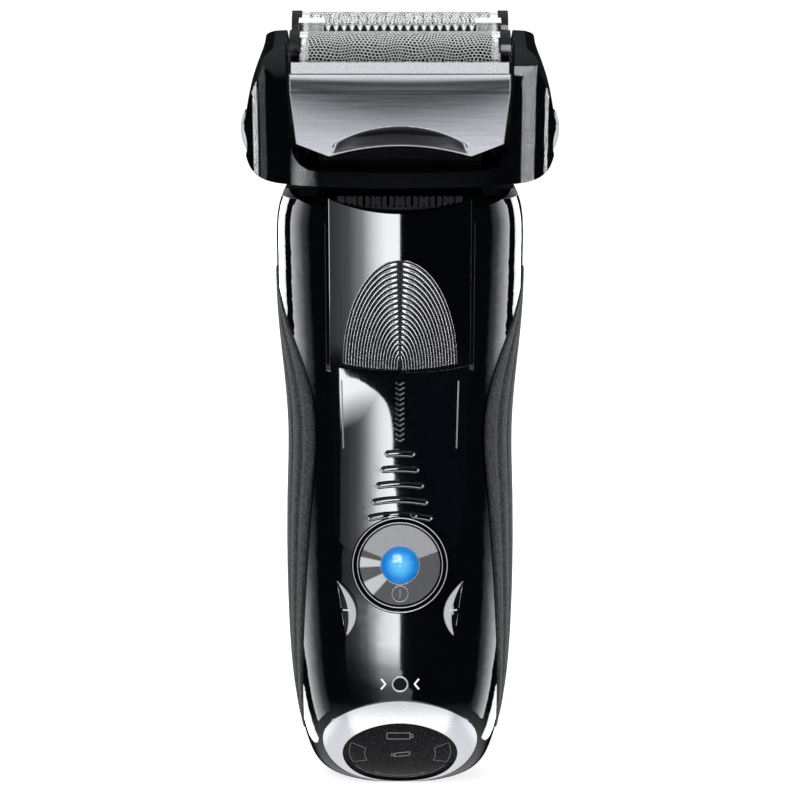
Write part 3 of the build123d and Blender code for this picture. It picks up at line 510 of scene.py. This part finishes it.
# ---------------------------------------------------------------- middle trimmer
def wavy_comb():
    """Middle trimmer: a corrugated toothed crown on two walls, with flat ends."""
    top, wave_half, end_half, half_depth = 32.05, 15.2, 20.3, 1.85
    steps, pitch, swing = 400, 1.6, 0.78
    thick = 0.5
    section = []
    for step in range(steps + 1):
        x = -end_half + 2 * end_half * step / steps
        inside = min(1.0, max(0.0, (wave_half - abs(x)) / 0.5))
        section.append((x, top - inside * swing * (1 + math.cos(2 * math.pi * x / pitch))))
    points = []
    for depth, lower in ((-half_depth, 1), (-half_depth, 0), (half_depth, 0), (half_depth, 1)):
        points += [in_head(x, depth, height - thick * lower) for x, height in section]
    columns = steps + 1
    faces = grid_faces(4, columns)
    faces += [(3 * columns + k, 3 * columns + k + 1, k + 1, k) for k in range(steps)]
    faces += [(0, columns, 2 * columns, 3 * columns), tuple(r * columns + steps for r in (3, 2, 1, 0))]
    for side in (-1, 1):
        for x0, x1, low, high in ((-end_half, end_half, 22.0, 30.0), (-end_half, -wave_half, 22.0, 31.8),
                                  (wave_half, end_half, 22.0, 31.8)):
            start = len(points)
            d0, d1 = side * 1.35, side * 1.75
            points += [in_head(x, d, h) for x in (x0, x1) for d in (d0, d1) for h in (low, high)]
            faces += [tuple(start + k for k in quad) for quad in
                      ((0, 1, 3, 2), (4, 6, 7, 5), (0, 4, 5, 1), (2, 3, 7, 6), (1, 5, 7, 3), (0, 2, 6, 4))]
    mesh = mesh_of("wavy_comb", points, faces, False)
    obj = piece("wavy_comb", mesh, LOOKS["blade_steel"], "middle_trimmer", "blade_steel", "middle_comb")
    edge = obj.modifiers.new("soft_edges", "BEVEL")
    edge.width = 0.06 * MM
    edge.segments = 2
    edge.limit_method = "ANGLE"
    edge.angle_limit = math.radians(50)


wavy_comb()


# ---------------------------------------------------------------- cassette covers
COVER_REACH = 14.4  # from the head's middle to the outermost line of a cover
CREASE, BAND = 21.4, 3.5
TIP = 14.1
RECESS_HALF = 13.4
CORNER_HALF, CORNER_HEIGHT = 20.7, 10.7


def cover_half(height):
    """Half width of a cover at this height."""
    return CORNER_HALF + 1.2 * min(1.0, max(0.0, (height - CORNER_HEIGHT) / (CREASE - CORNER_HEIGHT)))


def cover_foot(x):
    """Lower edge of a cover: two low points with a shallow arch between them."""
    if abs(x) <= TIP:
        return 10.2 - 2.2 * (x / TIP) ** 2
    return 8.0 + 2.7 * min(1.0, (abs(x) - TIP) / (CORNER_HALF - TIP))


def cover_front(x, height):
    """Front of a cover, back from the outermost line: panel, crease, hollow band and thumb recess."""
    if height > CREASE:
        share = ((height - CREASE) / BAND) ** (1 + 0.7 * (x / 21) ** 2)
        return 0.42 + 0.42 * share * (1 - share) + 0.1 * share
    bulge = 0.003 * (height - 13.0) ** 2
    crease = 0.30 * max(0.0, 1 - (CREASE - height) / 0.25)
    low, high = cover_foot(x) + 0.35, 14.2 - 3.6 * (x / RECESS_HALF) ** 2
    scoop = 0.0
    if abs(x) < RECESS_HALF and low < height < high:
        share = (height - low) / (high - low)
        span = (1 - (x / RECESS_HALF) ** 2) ** 0.5
        scoop = 1.6 * span * share ** 1.25 * min(1.0, (1 - share) / 0.03)
    return bulge + crease + scoop


def cover(name, node, facing):
    """A chrome cover of the cassette, facing the front or the back."""
    columns, rows = 180, 96
    split = 0.8 * rows
    points = []
    for row in range(rows + 1):
        for column in range(columns + 1):
            u = -1 + 2 * column / columns
            foot = cover_foot(CORNER_HALF * u)
            if row <= split:
                height = foot + (CREASE - foot) * row / split
            else:
                height = CREASE + BAND * (row - split) / (rows - split)
            x = u * cover_half(height)
            points.append(in_head(x, facing * (COVER_REACH - cover_front(x, height)), height))
    mesh = mesh_of(name, points, grid_faces(rows + 1, columns + 1))
    obj = piece(name, mesh, LOOKS["cover_chrome"], "cassette", "cover_chrome", node)
    thicken(obj, 0.45, facing)


cover("front_cover", "cassette_cover", -1)
cover("rear_cover", "cassette_rear_cover", 1)

# ---------------------------------------------------------------- control panel marks
panel = Face((0, 0, 0), (0, -1, 0), "control_panel", "front_shell", "display_ring", "reset_button")
chevrons = []
for step in range(12):
    height = 74.8 + 1.08 * step
    chevrons.append([(-0.85, height + 0.4), (0, height - 0.15), (0.85, height + 0.4)])
marks("panel_chevrons", panel, chevrons, 0.24, LOOKS["panel_gloss"], "handle", "panel_gloss")
BAR_ROWS = ((71.9, 6.3), (68.6, 8.0), (65.3, 9.9), (61.9, 11.6), (58.6, 13.4))  # height, width
BAR_RADIUS, BAR_SINK = 0.82, 0.38


def bar_domes():
    """Rounded bars on the panel, each gently arched and with round ends."""
    curve = bpy.data.curves.new("panel_bar_domes", "CURVE")
    curve.dimensions = "3D"
    curve.bevel_depth = BAR_RADIUS * MM
    curve.bevel_resolution = 5
    for height, width in BAR_ROWS:
        half, cap = width / 2, 0.75
        arch = 0.9 * (width / BAR_ROWS[-1][1]) ** 2
        turns = [math.radians(angle) for angle in range(90, -1, -15)]
        ends = [(cap * (1 - math.sin(t)), math.cos(t)) for t in turns]
        run = [(-half + inset, size) for inset, size in ends]
        inner = [(-half + cap + (width - 2 * cap) * k / 24, 1.0) for k in range(1, 24)]
        run += inner + [(-x, size) for x, size in reversed(run)]
        spline = curve.splines.new("POLY")
        spline.points.add(len(run) - 1)
        for target, (x, size) in zip(spline.points, run):
            place = panel.land(x, height + arch * (1 - (x / half) ** 2), -BAR_SINK)
            target.co = (*place, 1)
            target.radius = max(size, 0.02)
        spline.use_smooth = True
    piece("panel_bar_domes", curve, LOOKS["panel_gloss"], "handle", "panel_gloss")


bar_domes()
wedges = [[(side * 11.95, 87.2), (side * 11.6, 73.0)] for side in (-1, 1)]
marks("panel_wedges", panel, wedges, 0.16, LOOKS["panel_gloss"], "handle", "panel_gloss")

# ---------------------------------------------------------------- power button
button_low, button_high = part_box("power_button")
BUTTON_OUT = -Vector(joints["power_press"]["axis"])
BUTTON_CENTRE = (button_low + button_high) / 2
button_face = Face(BUTTON_CENTRE, BUTTON_OUT, "power_button")
BUTTON_RIGHT = Vector((1, 0, 0))
BUTTON_UP = BUTTON_OUT.cross(BUTTON_RIGHT)


def offset_of(tree, node, axis):
    """How far a point of the button lies from its centre along an axis."""
    to_object = nodes[node].matrix_world.inverted()
    coords = tree.nodes.new("ShaderNodeTexCoord")
    shift = tree.nodes.new("ShaderNodeVectorMath")
    shift.operation = "SUBTRACT"
    shift.inputs[1].default_value = to_object @ BUTTON_CENTRE
    tree.links.new(coords.outputs["Object"], shift.inputs[0])
    along = tree.nodes.new("ShaderNodeVectorMath")
    along.operation = "DOT_PRODUCT"
    along.inputs[1].default_value = to_object.to_3x3() @ axis
    tree.links.new(shift.outputs["Vector"], along.inputs[0])
    return along.outputs["Value"]


def dial_painted_reflection():
    """Spun metal disc with painted reflection: flat sectors of several greys in its colour stand in for the bright
    and dark sectors that light makes on its spun grain; angles run counter-clockwise from the right.
    """
    # Each sector, given as its start angle in degrees and its grey, is a painted reflection.
    sectors = ((20, 0.52), (157, 0.15), (168, 0.85), (183, 0.16), (205, 0.8), (228, 0.15))
    mat, tree, shader = nodes_of("dial_metal_painted_reflection")
    shader.inputs["Metallic"].default_value = 1
    turn = tree.nodes.new("ShaderNodeMath")
    turn.operation = "ARCTAN2"
    tree.links.new(offset_of(tree, "power_button", BUTTON_UP), turn.inputs[0])
    tree.links.new(offset_of(tree, "power_button", BUTTON_RIGHT), turn.inputs[1])
    shifted = tree.nodes.new("ShaderNodeMath")
    shifted.operation = "SUBTRACT"
    shifted.inputs[1].default_value = math.radians(sectors[0][0])
    tree.links.new(turn.outputs["Value"], shifted.inputs[0])
    wrapped = tree.nodes.new("ShaderNodeMath")
    wrapped.operation = "WRAP"
    wrapped.inputs[1].default_value = 2 * math.pi
    wrapped.inputs[2].default_value = 0
    tree.links.new(shifted.outputs["Value"], wrapped.inputs[0])
    ramp = tree.nodes.new("ShaderNodeValToRGB")
    ramp.color_ramp.elements[0].color = (0.5, 0.5, 0.51, 1)
    ramp.color_ramp.elements[1].color = (0.15, 0.15, 0.155, 1)
    for (edge, shade), (_, last) in zip(sectors[1:], sectors):
        for nudge, value in ((-1, last), (1, shade)):
            element = ramp.color_ramp.elements.new((edge + nudge - sectors[0][0]) / 360)
            element.color = (value, value, value * 1.02, 1)
    tree.links.new(ranged(tree, wrapped.outputs["Value"], 0, 1, 0, 2 * math.pi), ramp.inputs["Fac"])
    tree.links.new(ramp.outputs["Color"], shader.inputs["Base Color"])
    noise = fine_noise(tree, 2500, 3)
    tree.links.new(ranged(tree, noise.outputs["Fac"], 0.26, 0.34), shader.inputs["Roughness"])
    return mat


def lens_painted_light():
    """Blue lens with painted light: paler in its middle and deeper towards its rim, by distance from its middle.
    """
    mat, tree, shader = nodes_of("lens_dome")
    up = offset_of(tree, "button_lens", BUTTON_UP)
    right = offset_of(tree, "button_lens", BUTTON_RIGHT)
    reach = tree.nodes.new("ShaderNodeCombineXYZ")
    tree.links.new(right, reach.inputs["X"])
    tree.links.new(up, reach.inputs["Y"])
    length = tree.nodes.new("ShaderNodeVectorMath")
    length.operation = "LENGTH"
    tree.links.new(reach.outputs["Vector"], length.inputs[0])
    noise = fine_noise(tree, 700, 2)
    wobble = tree.nodes.new("ShaderNodeMath")
    wobble.operation = "MULTIPLY_ADD"
    wobble.inputs[1].default_value = 0.0007
    tree.links.new(noise.outputs["Fac"], wobble.inputs[0])
    tree.links.new(length.outputs["Value"], wobble.inputs[2])
    # The paler middle is painted light and the deeper rim painted shade.
    painted_light_share = ranged(tree, wobble.outputs["Value"], 0, 1, 0.0012, 0.0042)
    blue = tinted(tree, painted_light_share, (0.07, 0.3, 0.52), (0.004, 0.125, 0.4), 0.1, 0.75)
    tree.links.new(blue, shader.inputs["Base Color"])
    shader.inputs["Roughness"].default_value = 0.05
    return mat


for name, look in (("power_button", dial_painted_reflection()), ("button_lens", lens_painted_light())):
    nodes[name].data.materials.clear()
    nodes[name].data.materials.append(look)
symbol = [round_path(1.65, (0, -5.9), steps=32), [(0, -6.9), (0, -4.9)]]
marks("power_symbol", button_face, symbol, 0.13, LOOKS["spun_metal"], "power_button", "spun_metal")
bezel_face = Face(BUTTON_CENTRE, BUTTON_OUT, "button_bezel", "power_button")
rims = [round_path(9.7, steps=96), round_path(8.75, steps=96)]
marks("bezel_rim", bezel_face, rims, 0.12, LOOKS["satin_silver"], "handle", "panel_gloss", -0.03)
lens_edge = [round_path(3.98, steps=64)]
marks("lens_rim", button_face, lens_edge, 0.1, LOOKS["spun_metal"], "power_button", "spun_metal")

# ---------------------------------------------------------------- keys
KEY_TOP, KEY_FOOT, KEY_BULGE = (12.9, 45.6), (11.2, 34.6), 3.15


def key_point(side, share, depth):
    """A point this share of the way down a key, between its straight edge (0) and its curved one (1)."""
    bulge = KEY_BULGE * 4 * share * (1 - share)
    x = KEY_TOP[0] + (KEY_FOOT[0] - KEY_TOP[0]) * share - bulge * depth
    return side * x, KEY_TOP[1] + (KEY_FOOT[1] - KEY_TOP[1]) * share


def key_painted_highlight(side, node, face):
    """Bright chrome crescent along the curved edge of a black key: a painted highlight on its inner slope."""
    across, along = 8, 40
    points = []
    for step in range(along + 1):
        for band in range(across + 1):
            x, z = key_point(side, 0.05 + 0.9 * step / along, 0.94 - 0.52 * band / across)
            lift = 0.12 * (band / across) ** 0.7 + 0.02
            points.append(face.land(x, z, lift))
    mesh = mesh_of(f"{node}_slope", points, grid_faces(along + 1, across + 1, side > 0))
    piece(f"{node}_slope", mesh, LOOKS["release_chrome"], node, "key_black")


for side, node in ((-1, "minus_button"), (1, "plus_button")):
    key_face = Face((0, 0, 0), (0, -1, 0), node)
    key_painted_highlight(side, node, key_face)
    bars = [[(side * 10.0, 40.0), (side * 11.7, 40.0)]]
    if side > 0:
        bars.append([(10.85, 40.9), (10.85, 39.1)])
    # The chrome outline round each key is a painted highlight along its edge.
    rim = [key_point(side, step / 40, 0.93) for step in range(41)]
    outline = [rim + rim[:1]]
    marks(f"{node}_rim", key_face, outline, 0.09, LOOKS["release_chrome"], node, "key_black", 0.04)
    marks(f"{node}_sign", key_face, bars, 0.2, LOOKS["satin_silver"], node, "key_black", 0.2)

# ---------------------------------------------------------------- reset dot
DOT = 24.8
dot_edge = [round_path(1.55, (0, DOT), steps=32)]
marks("reset_ring", panel, dot_edge, 0.22, LOOKS["satin_silver"], "handle", "satin_silver")
arrows = [[(side * 3.9, DOT + 1.1), (side * 3.0, DOT), (side * 3.9, DOT - 1.1)] for side in (-1, 1)]
print_white = matte("print_white", (0.7, 0.7, 0.72), 0.4)
marks("reset_arrows", panel, arrows, 0.2, print_white, "handle", "satin_silver")

# ---------------------------------------------------------------- display
window_low, window_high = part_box("display_window")
CHIN_OUT = Vector((0, -0.862, -0.507))
chin = Face((window_low + window_high) / 2, CHIN_OUT, "display_window")
icon_grey = matte("icon_grey", (0.16, 0.16, 0.165), 0.4)
battery = [
    [(-2.7, 4.6), (2.1, 4.6), (2.1, 6.2), (-2.7, 6.2), (-2.7, 4.6)],
    [(2.1, 5.0), (2.7, 5.0), (2.7, 5.8), (2.1, 5.8)],
]
plug = [
    [(-1.2, -0.6), (1.9, -0.2), (2.1, 0.9), (-0.9, 0.5), (-1.2, -0.6)],
    [(-1.1, -0.2), (-2.0, -0.3)],
    [(-1.0, 0.3), (-1.9, 0.2)],
]
segments = []
for side in (-1, 1):
    outer = round_path(10.6, (0, 0), -22, 18, 0.82, 12)
    inner = round_path(7.4, (0, 0), 16, -20, 0.82, 12)
    ring = outer + inner + outer[:1]
    segments.append([(side * x, y) for x, y in ring])
lower = round_path(10.9, (0, 0), -150, -30, 0.78, 40)
segments += [lower, round_path(9.3, (0, 0), -125, -55, 0.82, 24)]
segments += [[(-4.4, -6.4), (-5.2, -7.6)], [(0, -7.6), (0, -8.6)], [(4.4, -6.4), (5.2, -7.6)]]
marks("display_icons", chin, battery + plug, 0.09, icon_grey, "handle", "window_dark")
marks("display_segments", chin, segments, 0.05, icon_grey, "handle", "window_dark")


# ---------------------------------------------------------------- floor, light, camera
def stage_card(name, corners, mat, camera_sees=False, lit=None):
    """A flat card of the studio set through these corners, which lights only some pieces."""
    mesh = bpy.data.meshes.new(name)
    mesh.from_pydata(corners, [], [range(len(corners))])
    mesh.materials.append(mat)
    card = bpy.data.objects.new(name, mesh)
    bpy.context.scene.collection.objects.link(card)
    card.visible_camera = camera_sees
    card.visible_shadow = camera_sees
    if lit:
        card.light_linking.receiver_collection = lit
    return card


def curve_along(tree, source, stops):
    """A value that follows these (position in metres, share) stops."""
    curve = tree.nodes.new("ShaderNodeFloatCurve")
    low, high = stops[0][0], stops[-1][0]
    tree.links.new(ranged(tree, source, 0, 1, low, high), curve.inputs["Value"])
    points = curve.mapping.curves[0].points
    while len(points) < len(stops):
        points.new(0.5, 0.5)
    for point, (place, value) in zip(points, stops):
        point.location = ((place - low) / (high - low), value)
        point.handle_type = "VECTOR"
    curve.mapping.update()
    return curve.outputs["Value"]


def glow(name, strength, stops, axis="X", upright=None, blend="MAXIMUM", sag=0.0):
    """An emitting finish that follows stops along an axis, blended with other stops along Z."""
    mat = bpy.data.materials.new(name)
    mat.use_nodes = True
    tree = mat.node_tree
    tree.nodes.remove(tree.nodes["Principled BSDF"])
    emit = tree.nodes.new("ShaderNodeEmission")
    emit.inputs["Color"].default_value = (0.96, 0.98, 1.0, 1)
    clear = tree.nodes.new("ShaderNodeBsdfTransparent")
    both = tree.nodes.new("ShaderNodeAddShader")
    tree.links.new(emit.outputs["Emission"], both.inputs[0])
    tree.links.new(clear.outputs["BSDF"], both.inputs[1])
    tree.links.new(both.outputs["Shader"], tree.nodes["Material Output"].inputs["Surface"])
    coords = tree.nodes.new("ShaderNodeTexCoord")
    split = tree.nodes.new("ShaderNodeSeparateXYZ")
    tree.links.new(coords.outputs["Object"], split.inputs["Vector"])
    source = split.outputs[axis]
    if sag:
        square = tree.nodes.new("ShaderNodeMath")
        square.operation = "MULTIPLY"
        tree.links.new(split.outputs["X"], square.inputs[0])
        tree.links.new(split.outputs["X"], square.inputs[1])
        bent = tree.nodes.new("ShaderNodeMath")
        bent.operation = "MULTIPLY_ADD"
        bent.inputs[1].default_value = sag
        tree.links.new(square.outputs["Value"], bent.inputs[0])
        tree.links.new(source, bent.inputs[2])
        source = bent.outputs["Value"]
    value = curve_along(tree, source, stops)
    if upright:
        mixed = tree.nodes.new("ShaderNodeMath")
        mixed.operation = blend
        tree.links.new(value, mixed.inputs[0])
        tree.links.new(curve_along(tree, split.outputs["Z"], upright), mixed.inputs[1])
        value = mixed.outputs["Value"]
    scale = tree.nodes.new("ShaderNodeMath")
    scale.operation = "MULTIPLY"
    scale.inputs[1].default_value = strength
    tree.links.new(value, scale.inputs[0])
    tree.links.new(scale.outputs["Value"], emit.inputs["Strength"])
    return mat


# No two cards share a plane, so that light passes through the ones in front.
CARD_GAP = 3 * MM
card_layers = iter(range(100))


def corners_of(span_x, span_z):
    """The corners of a rectangle."""
    (x0, x1), (z0, z1) = span_x, span_z
    return [(x0, z0), (x1, z0), (x1, z1), (x0, z1)]


def front_card(name, outline, mat, lit):
    """A card a metre in front of the object, its outline given as x, z."""
    depth = -1.0 - CARD_GAP * next(card_layers)
    stage_card(name, [(x, depth, z) for x, z in outline], mat, False, lit)


def side_card(name, place, span_y, span_z, mat, lit):
    """An upright rectangular card beside the object."""
    x = place + math.copysign(CARD_GAP * next(card_layers), place)
    stage_card(name, [(x, y, z) for y, z in corners_of(span_y, span_z)], mat, False, lit)


def flat(name, strength):
    """An even emitting finish."""
    return glow(name, strength, [(-9, 1.0), (9, 1.0)])


def group_of(name, *names):
    """The pieces that a set of cards lights."""
    group = bpy.data.collections.new(name)
    for one in names:
        group.objects.link(bpy.data.objects[one] if one in bpy.data.objects else nodes[one])
    return group


floor_mat, tree, shader = nodes_of("floor_pale")
noise = fine_noise(tree, 40, 2)
pale = tinted(tree, noise.outputs["Fac"], (0.5, 0.5, 0.5), (0.52, 0.52, 0.52))
tree.links.new(pale, shader.inputs["Base Color"])
shader.inputs["Roughness"].default_value = 0.9
shader.inputs["Emission Color"].default_value = (1, 1, 1, 1)
coords = tree.nodes.new("ShaderNodeTexCoord")
split = tree.nodes.new("ShaderNodeSeparateXYZ")
tree.links.new(coords.outputs["Object"], split.inputs["Vector"])
tree.links.new(ranged(tree, split.outputs["Y"], 0.78, 1.0, 0.1, 1.5), shader.inputs["Emission Strength"])
floor = stage_card("floor", [(-6, -6, 0), (6, -6, 0), (6, 6, 0), (-6, 6, 0)], floor_mat, True)
floor.visible_glossy = False

world = bpy.data.worlds.new("studio")
world.use_nodes = True
bpy.context.scene.world = world
tree = world.node_tree
background = tree.nodes["Background"]
paths = tree.nodes.new("ShaderNodeLightPath")
coords = tree.nodes.new("ShaderNodeTexCoord")
split = tree.nodes.new("ShaderNodeSeparateXYZ")
tree.links.new(coords.outputs["Generated"], split.inputs["Vector"])
ramp = tree.nodes.new("ShaderNodeValToRGB")
ramp.color_ramp.elements[0].position = 0.0
ramp.color_ramp.elements[0].color = (0.9, 0.9, 0.92, 1)
ramp.color_ramp.elements[1].position = 1.0
ramp.color_ramp.elements[1].color = (0.5, 0.5, 0.52, 1)
for place, value in ((0.14, 0.75), (0.2, 0.3), (0.25, 0.012), (0.7, 0.012), (0.8, 0.3)):
    element = ramp.color_ramp.elements.new(place)
    element.color = (value, value * 1.02, value * 1.08, 1)
tree.links.new(ranged(tree, split.outputs["Z"], 0, 1, -1, 1), ramp.inputs["Fac"])
glossy_mix = tree.nodes.new("ShaderNodeMix")
glossy_mix.data_type = "RGBA"
glossy_mix.inputs["A"].default_value = (0.22, 0.22, 0.225, 1)
tree.links.new(paths.outputs["Is Glossy Ray"], glossy_mix.inputs["Factor"])
tree.links.new(ramp.outputs["Color"], glossy_mix.inputs["B"])
camera_mix = tree.nodes.new("ShaderNodeMix")
camera_mix.data_type = "RGBA"
camera_mix.inputs["B"].default_value = (1, 1, 1, 1)
tree.links.new(paths.outputs["Is Camera Ray"], camera_mix.inputs["Factor"])
tree.links.new(glossy_mix.outputs["Result"], camera_mix.inputs["A"])
tree.links.new(camera_mix.outputs["Result"], background.inputs["Color"])

black_group = group_of("black_pieces", "front_shell", "back_shell", "neck_seal", "bottom_cap",
                       "minus_button", "plus_button", "head_lock_slider")
panel_group = group_of("panel_pieces", "control_panel", "panel_chevrons", "panel_bar_domes", "panel_wedges")
slider_group = group_of("slider_pieces", "trimmer_slider")
comb_group = group_of("comb_pieces", "trimmer_comb", "trimmer_cutter")
chrome_group = group_of("chrome_pieces", "front_cover", "rear_cover")
KEYS = ("minus_button", "plus_button")
key_marks = [f"{node}_{mark}" for mark in ("slope", "rim", "sign") for node in KEYS]
satin_group = group_of("satin_pieces", "power_button", "power_symbol", "bezel_rim", "lens_rim", "display_ring",
                       "reset_ring", "cassette_bars", "perforated_foil_front", "perforated_foil_rear",
                       "foil_tabs_front", "foil_tabs_rear", "wavy_comb", *key_marks)
release_group = group_of("release_pieces", "release_button_left", "release_button_right")
head_group = group_of("head_pieces", "head_frame", "foil_front_frame", "foil_rear_frame", "cassette_frame")
grip_group = group_of("grip_pieces", "folded_left_grip", "folded_right_grip")
lens_group = group_of("lens_pieces", "button_lens", "display_window", "button_bezel")

slider_box = glow(
    "slider_box", 22,
    [(-0.50, 0.03), (-0.36, 0.07), (-0.26, 0.22), (-0.17, 0.7), (-0.1, 0.97), (0.0, 1.0)],
)
slider_outline = [(-0.5, -0.54), (-0.2, -0.5), (-0.06, -0.47), (0, -0.465), (0, -0.385), (-0.5, -0.385)]
front_card("card_slider", slider_outline, slider_box, slider_group)
SWEEP = [
    (-0.60, 0.02), (-0.46, 0.03), (-0.34, 0.055), (-0.24, 0.13), (-0.16, 0.38), (-0.09, 0.8), (-0.02, 1.0),
]
panel_box = glow(
    "panel_box", 22, SWEEP, "X",
    [(-0.5, 1.0), (-0.33, 0.95), (-0.25, 0.45), (-0.16, 0.0), (0.6, 0.0)],
)
# The panel's card has an upright right edge that nears the middle as it rises and sweeps out at its foot.
PANEL_LEFT, PANEL_FOOT, PANEL_TOP = -0.6, -0.445, 0.6
EDGE_NEAR, EDGE_FAR, EDGE_RISE = 0.004, 0.026, 0.59
SWEEP_OUT, SWEEP_RISE = 0.48, 0.095
panel_outline = [(PANEL_LEFT, PANEL_TOP), (PANEL_LEFT, PANEL_FOOT - 0.025)]
for step in range(61):
    rise = EDGE_RISE * step / 60
    edge = EDGE_NEAR + (EDGE_FAR - EDGE_NEAR) * min(1.0, (EDGE_RISE - rise) / 0.2)
    sweep = SWEEP_OUT * math.exp(-(rise / SWEEP_RISE) ** 1.35)
    panel_outline.append((-edge - sweep, PANEL_FOOT + rise))
panel_outline.append((-EDGE_NEAR, PANEL_TOP))
front_card("card_panel", panel_outline, panel_box, panel_group)
low_outline = corners_of((-1.2, 1.2), (-2.2, -0.95))
front_card("card_panel_low", low_outline, flat("panel_low_box", 9), panel_group)
chin_box = glow(
    "chin_box", 20, SWEEP, "X",
    [(-0.66, 0.03), (-0.33, 0.08), (-0.12, 0.35), (0.03, 1.0), (0.6, 1.0)], "MULTIPLY",
)
chin_outline = [
    (-0.6, -0.66), (0.05, -0.66), (0.06, -0.33), (0.03, -0.2), (0, -0.12), (0, 0.6), (-0.6, 0.6),
]
front_card("card_chin", chin_outline, chin_box, black_group)
comb_box = glow("comb_box", 0.5, [(-0.9, 0.1), (-0.5, 0.9), (-0.42, 0.35), (-0.3, 0.8), (0.2, 0.2)], "Z")
front_card("card_comb", corners_of((-0.8, 0.8), (-0.9, 0.2)), comb_box, comb_group)

for side in (-1, 1):
    name = "left" if side < 0 else "right"
    place = 0.8 * side
    grade = glow(f"side_{name}_box", 7, [(-0.45, 0.0), (-0.25, 0.15), (0.1, 1.0), (0.14, 1.0)], "Y")
    side_card(f"card_side_{name}", place, (-0.45, 0.14), (-0.6, 0.07), grade, black_group)
    strip = glow(f"rim_{name}_box", 9, [(0.45, 0.9), (1.6, 1.0)], "Y")
    side_card(f"card_rim_{name}", place, (0.45, 1.6), (-0.8, 1.0), strip, black_group)
    panel_side = flat(f"panel_{name}_box", 10)
    side_card(f"card_panel_{name}", place, (-0.9, 0.4), (-0.6, 0.3), panel_side, panel_group)
    pad_half = group_of(f"pad_{name}_pieces", f"ridged_pad_{name}")
    side_card(f"card_pad_{name}", place, (-0.75, 0.5), (-0.9, 1.0), flat(f"pad_{name}_box", 32), pad_half)
    pad_top = corners_of((-0.8, 0.8), (0.15, 1.8))
    front_card(f"card_pad_top_{name}", pad_top, flat(f"pad_top_{name}_box", 24), pad_half)
    satin_side = flat(f"satin_{name}_box", 0.5)
    side_card(f"card_satin_{name}", place, (-0.9, 0.6), (-1.0, 0.8), satin_side, satin_group)
    release_side = flat(f"release_{name}_box", 0.9)
    side_card(f"card_release_{name}", place, (-0.9, 0.9), (-0.6, 0.15), release_side, release_group)
    release_back = flat(f"release_back_{name}_box", 0.7)
    side_card(f"card_release_back_{name}", place, (0.9, 4.0), (-0.9, 0.6), release_back, release_group)
    grip_side = flat(f"grip_{name}_box", 1.1)
    side_card(f"card_grip_{name}", 0.6 * side, (-0.1, 1.2), (-0.5, 0.7), grip_side, grip_group)
    chrome_side = flat(f"chrome_{name}_box", 0.35)
    side_card(f"card_chrome_{name}", place, (-0.9, 0.4), (-0.9, 0.6), chrome_side, chrome_group)

satin_box = glow("satin_box", 0.78, [(-2.2, 0.9), (-0.9, 1.0), (0.3, 0.95), (1.2, 0.7)], "Z")
front_card("card_satin", corners_of((-0.8, 0.8), (-2.2, 1.2)), satin_box, satin_group)
overhead = [(x, y, 1.5) for x, y in corners_of((-0.9, 0.9), (-1.0, 0.9))]
stage_card("card_satin_top", overhead, flat("satin_top_box", 0.9), False, satin_group)
behind = [(x, 1.3, z) for x, z in corners_of((-0.9, 0.9), (0.1, 1.6))]
stage_card("card_satin_back", behind, flat("satin_back_box", 1.1), False, satin_group)
front_card("card_release", corners_of((-0.8, 0.8), (-1.2, 0.6)), flat("release_box", 0.5), release_group)
front_card("card_lens", corners_of((-0.5, 0.1), (0.3, 0.9)), flat("lens_box", 10), lens_group)

chrome_box = glow(
    "chrome_box", 1.0,
    [(-0.95, 0.95), (-0.55, 0.85), (-0.48, 0.68), (-0.43, 0.42), (-0.385, 0.16),
     (-0.30, 0.08), (-0.24, 0.14), (-0.17, 0.2), (-0.08, 0.07), (0.5, 0.03)],
    "Z", sag=-14,
)
front_card("card_chrome", corners_of((-0.8, 0.8), (-1.3, 0.5)), chrome_box, chrome_group)

side_card("card_arm_right", 0.8, (-0.66, -0.31), (-0.6, 0.1), flat("arm_right_box", 6), head_group)
side_card("card_arm_right_edge", 0.8, (0.0, 0.14), (-0.5, 0.3), flat("arm_right_edge_box", 9), head_group)
side_card("card_arm_left_edge", -0.8, (-0.08, 0.1), (-0.5, 0.3), flat("arm_left_edge_box", 9), head_group)
side_card("card_arm_left", -0.8, (-0.34, -0.15), (-0.4, 0.1), flat("arm_left_box", 1.0), head_group)
corner_box = glow("corner_box", 6, [(-1.0, 0.0), (-0.93, 0.5), (-0.82, 1.0), (-0.68, 0.8), (-0.5, 0.0)])
corner_outline = [(-1.0, -0.75), (-0.5, -0.75), (-0.5, -0.455), (-1.0, -0.48)]
front_card("card_corner", corner_outline, corner_box, head_group)
front_card("card_arm_top", corners_of((0.0, 0.7), (0.75, 1.6)), flat("arm_top_box", 8), head_group)


def area(name, place, aim, size, power):
    """A soft rectangular lamp that gives no reflections of its own."""
    lamp = bpy.data.lights.new(name, "AREA")
    lamp.shape = "RECTANGLE"
    lamp.size, lamp.size_y = size
    lamp.energy = power
    obj = bpy.data.objects.new(name, lamp)
    bpy.context.scene.collection.objects.link(obj)
    obj.location = place
    obj.rotation_euler = (Vector(aim) - Vector(place)).to_track_quat("-Z", "Y").to_euler()
    obj.visible_glossy = False


area("key_light", (-0.5, -0.9, 0.9), (0, 0, 0.08), (0.5, 0.8), 10)
area("fill_light", (0.8, -0.6, 0.4), (0, 0, 0.08), (0.3, 0.8), 4)
area("top_light", (0, 0.2, 1.2), (0, 0, 0.08), (0.9, 0.9), 10)

camera_data = bpy.data.cameras.new("camera")
camera = bpy.data.objects.new("camera", camera_data)
bpy.context.scene.collection.objects.link(camera)
camera_data.lens = 129.195
camera_data.sensor_width = 36
camera_data.clip_start = 0.01
TARGET = Vector((0, -1, 81)) * MM
TILT = math.radians(10)
DISTANCE = 0.6
camera.location = TARGET + DISTANCE * Vector((0, -math.cos(TILT), math.sin(TILT)))
camera.rotation_euler = (math.pi / 2 - TILT, 0, 0)
bpy.context.scene.camera = camera
bpy.context.scene.view_settings.view_transform = "Standard"
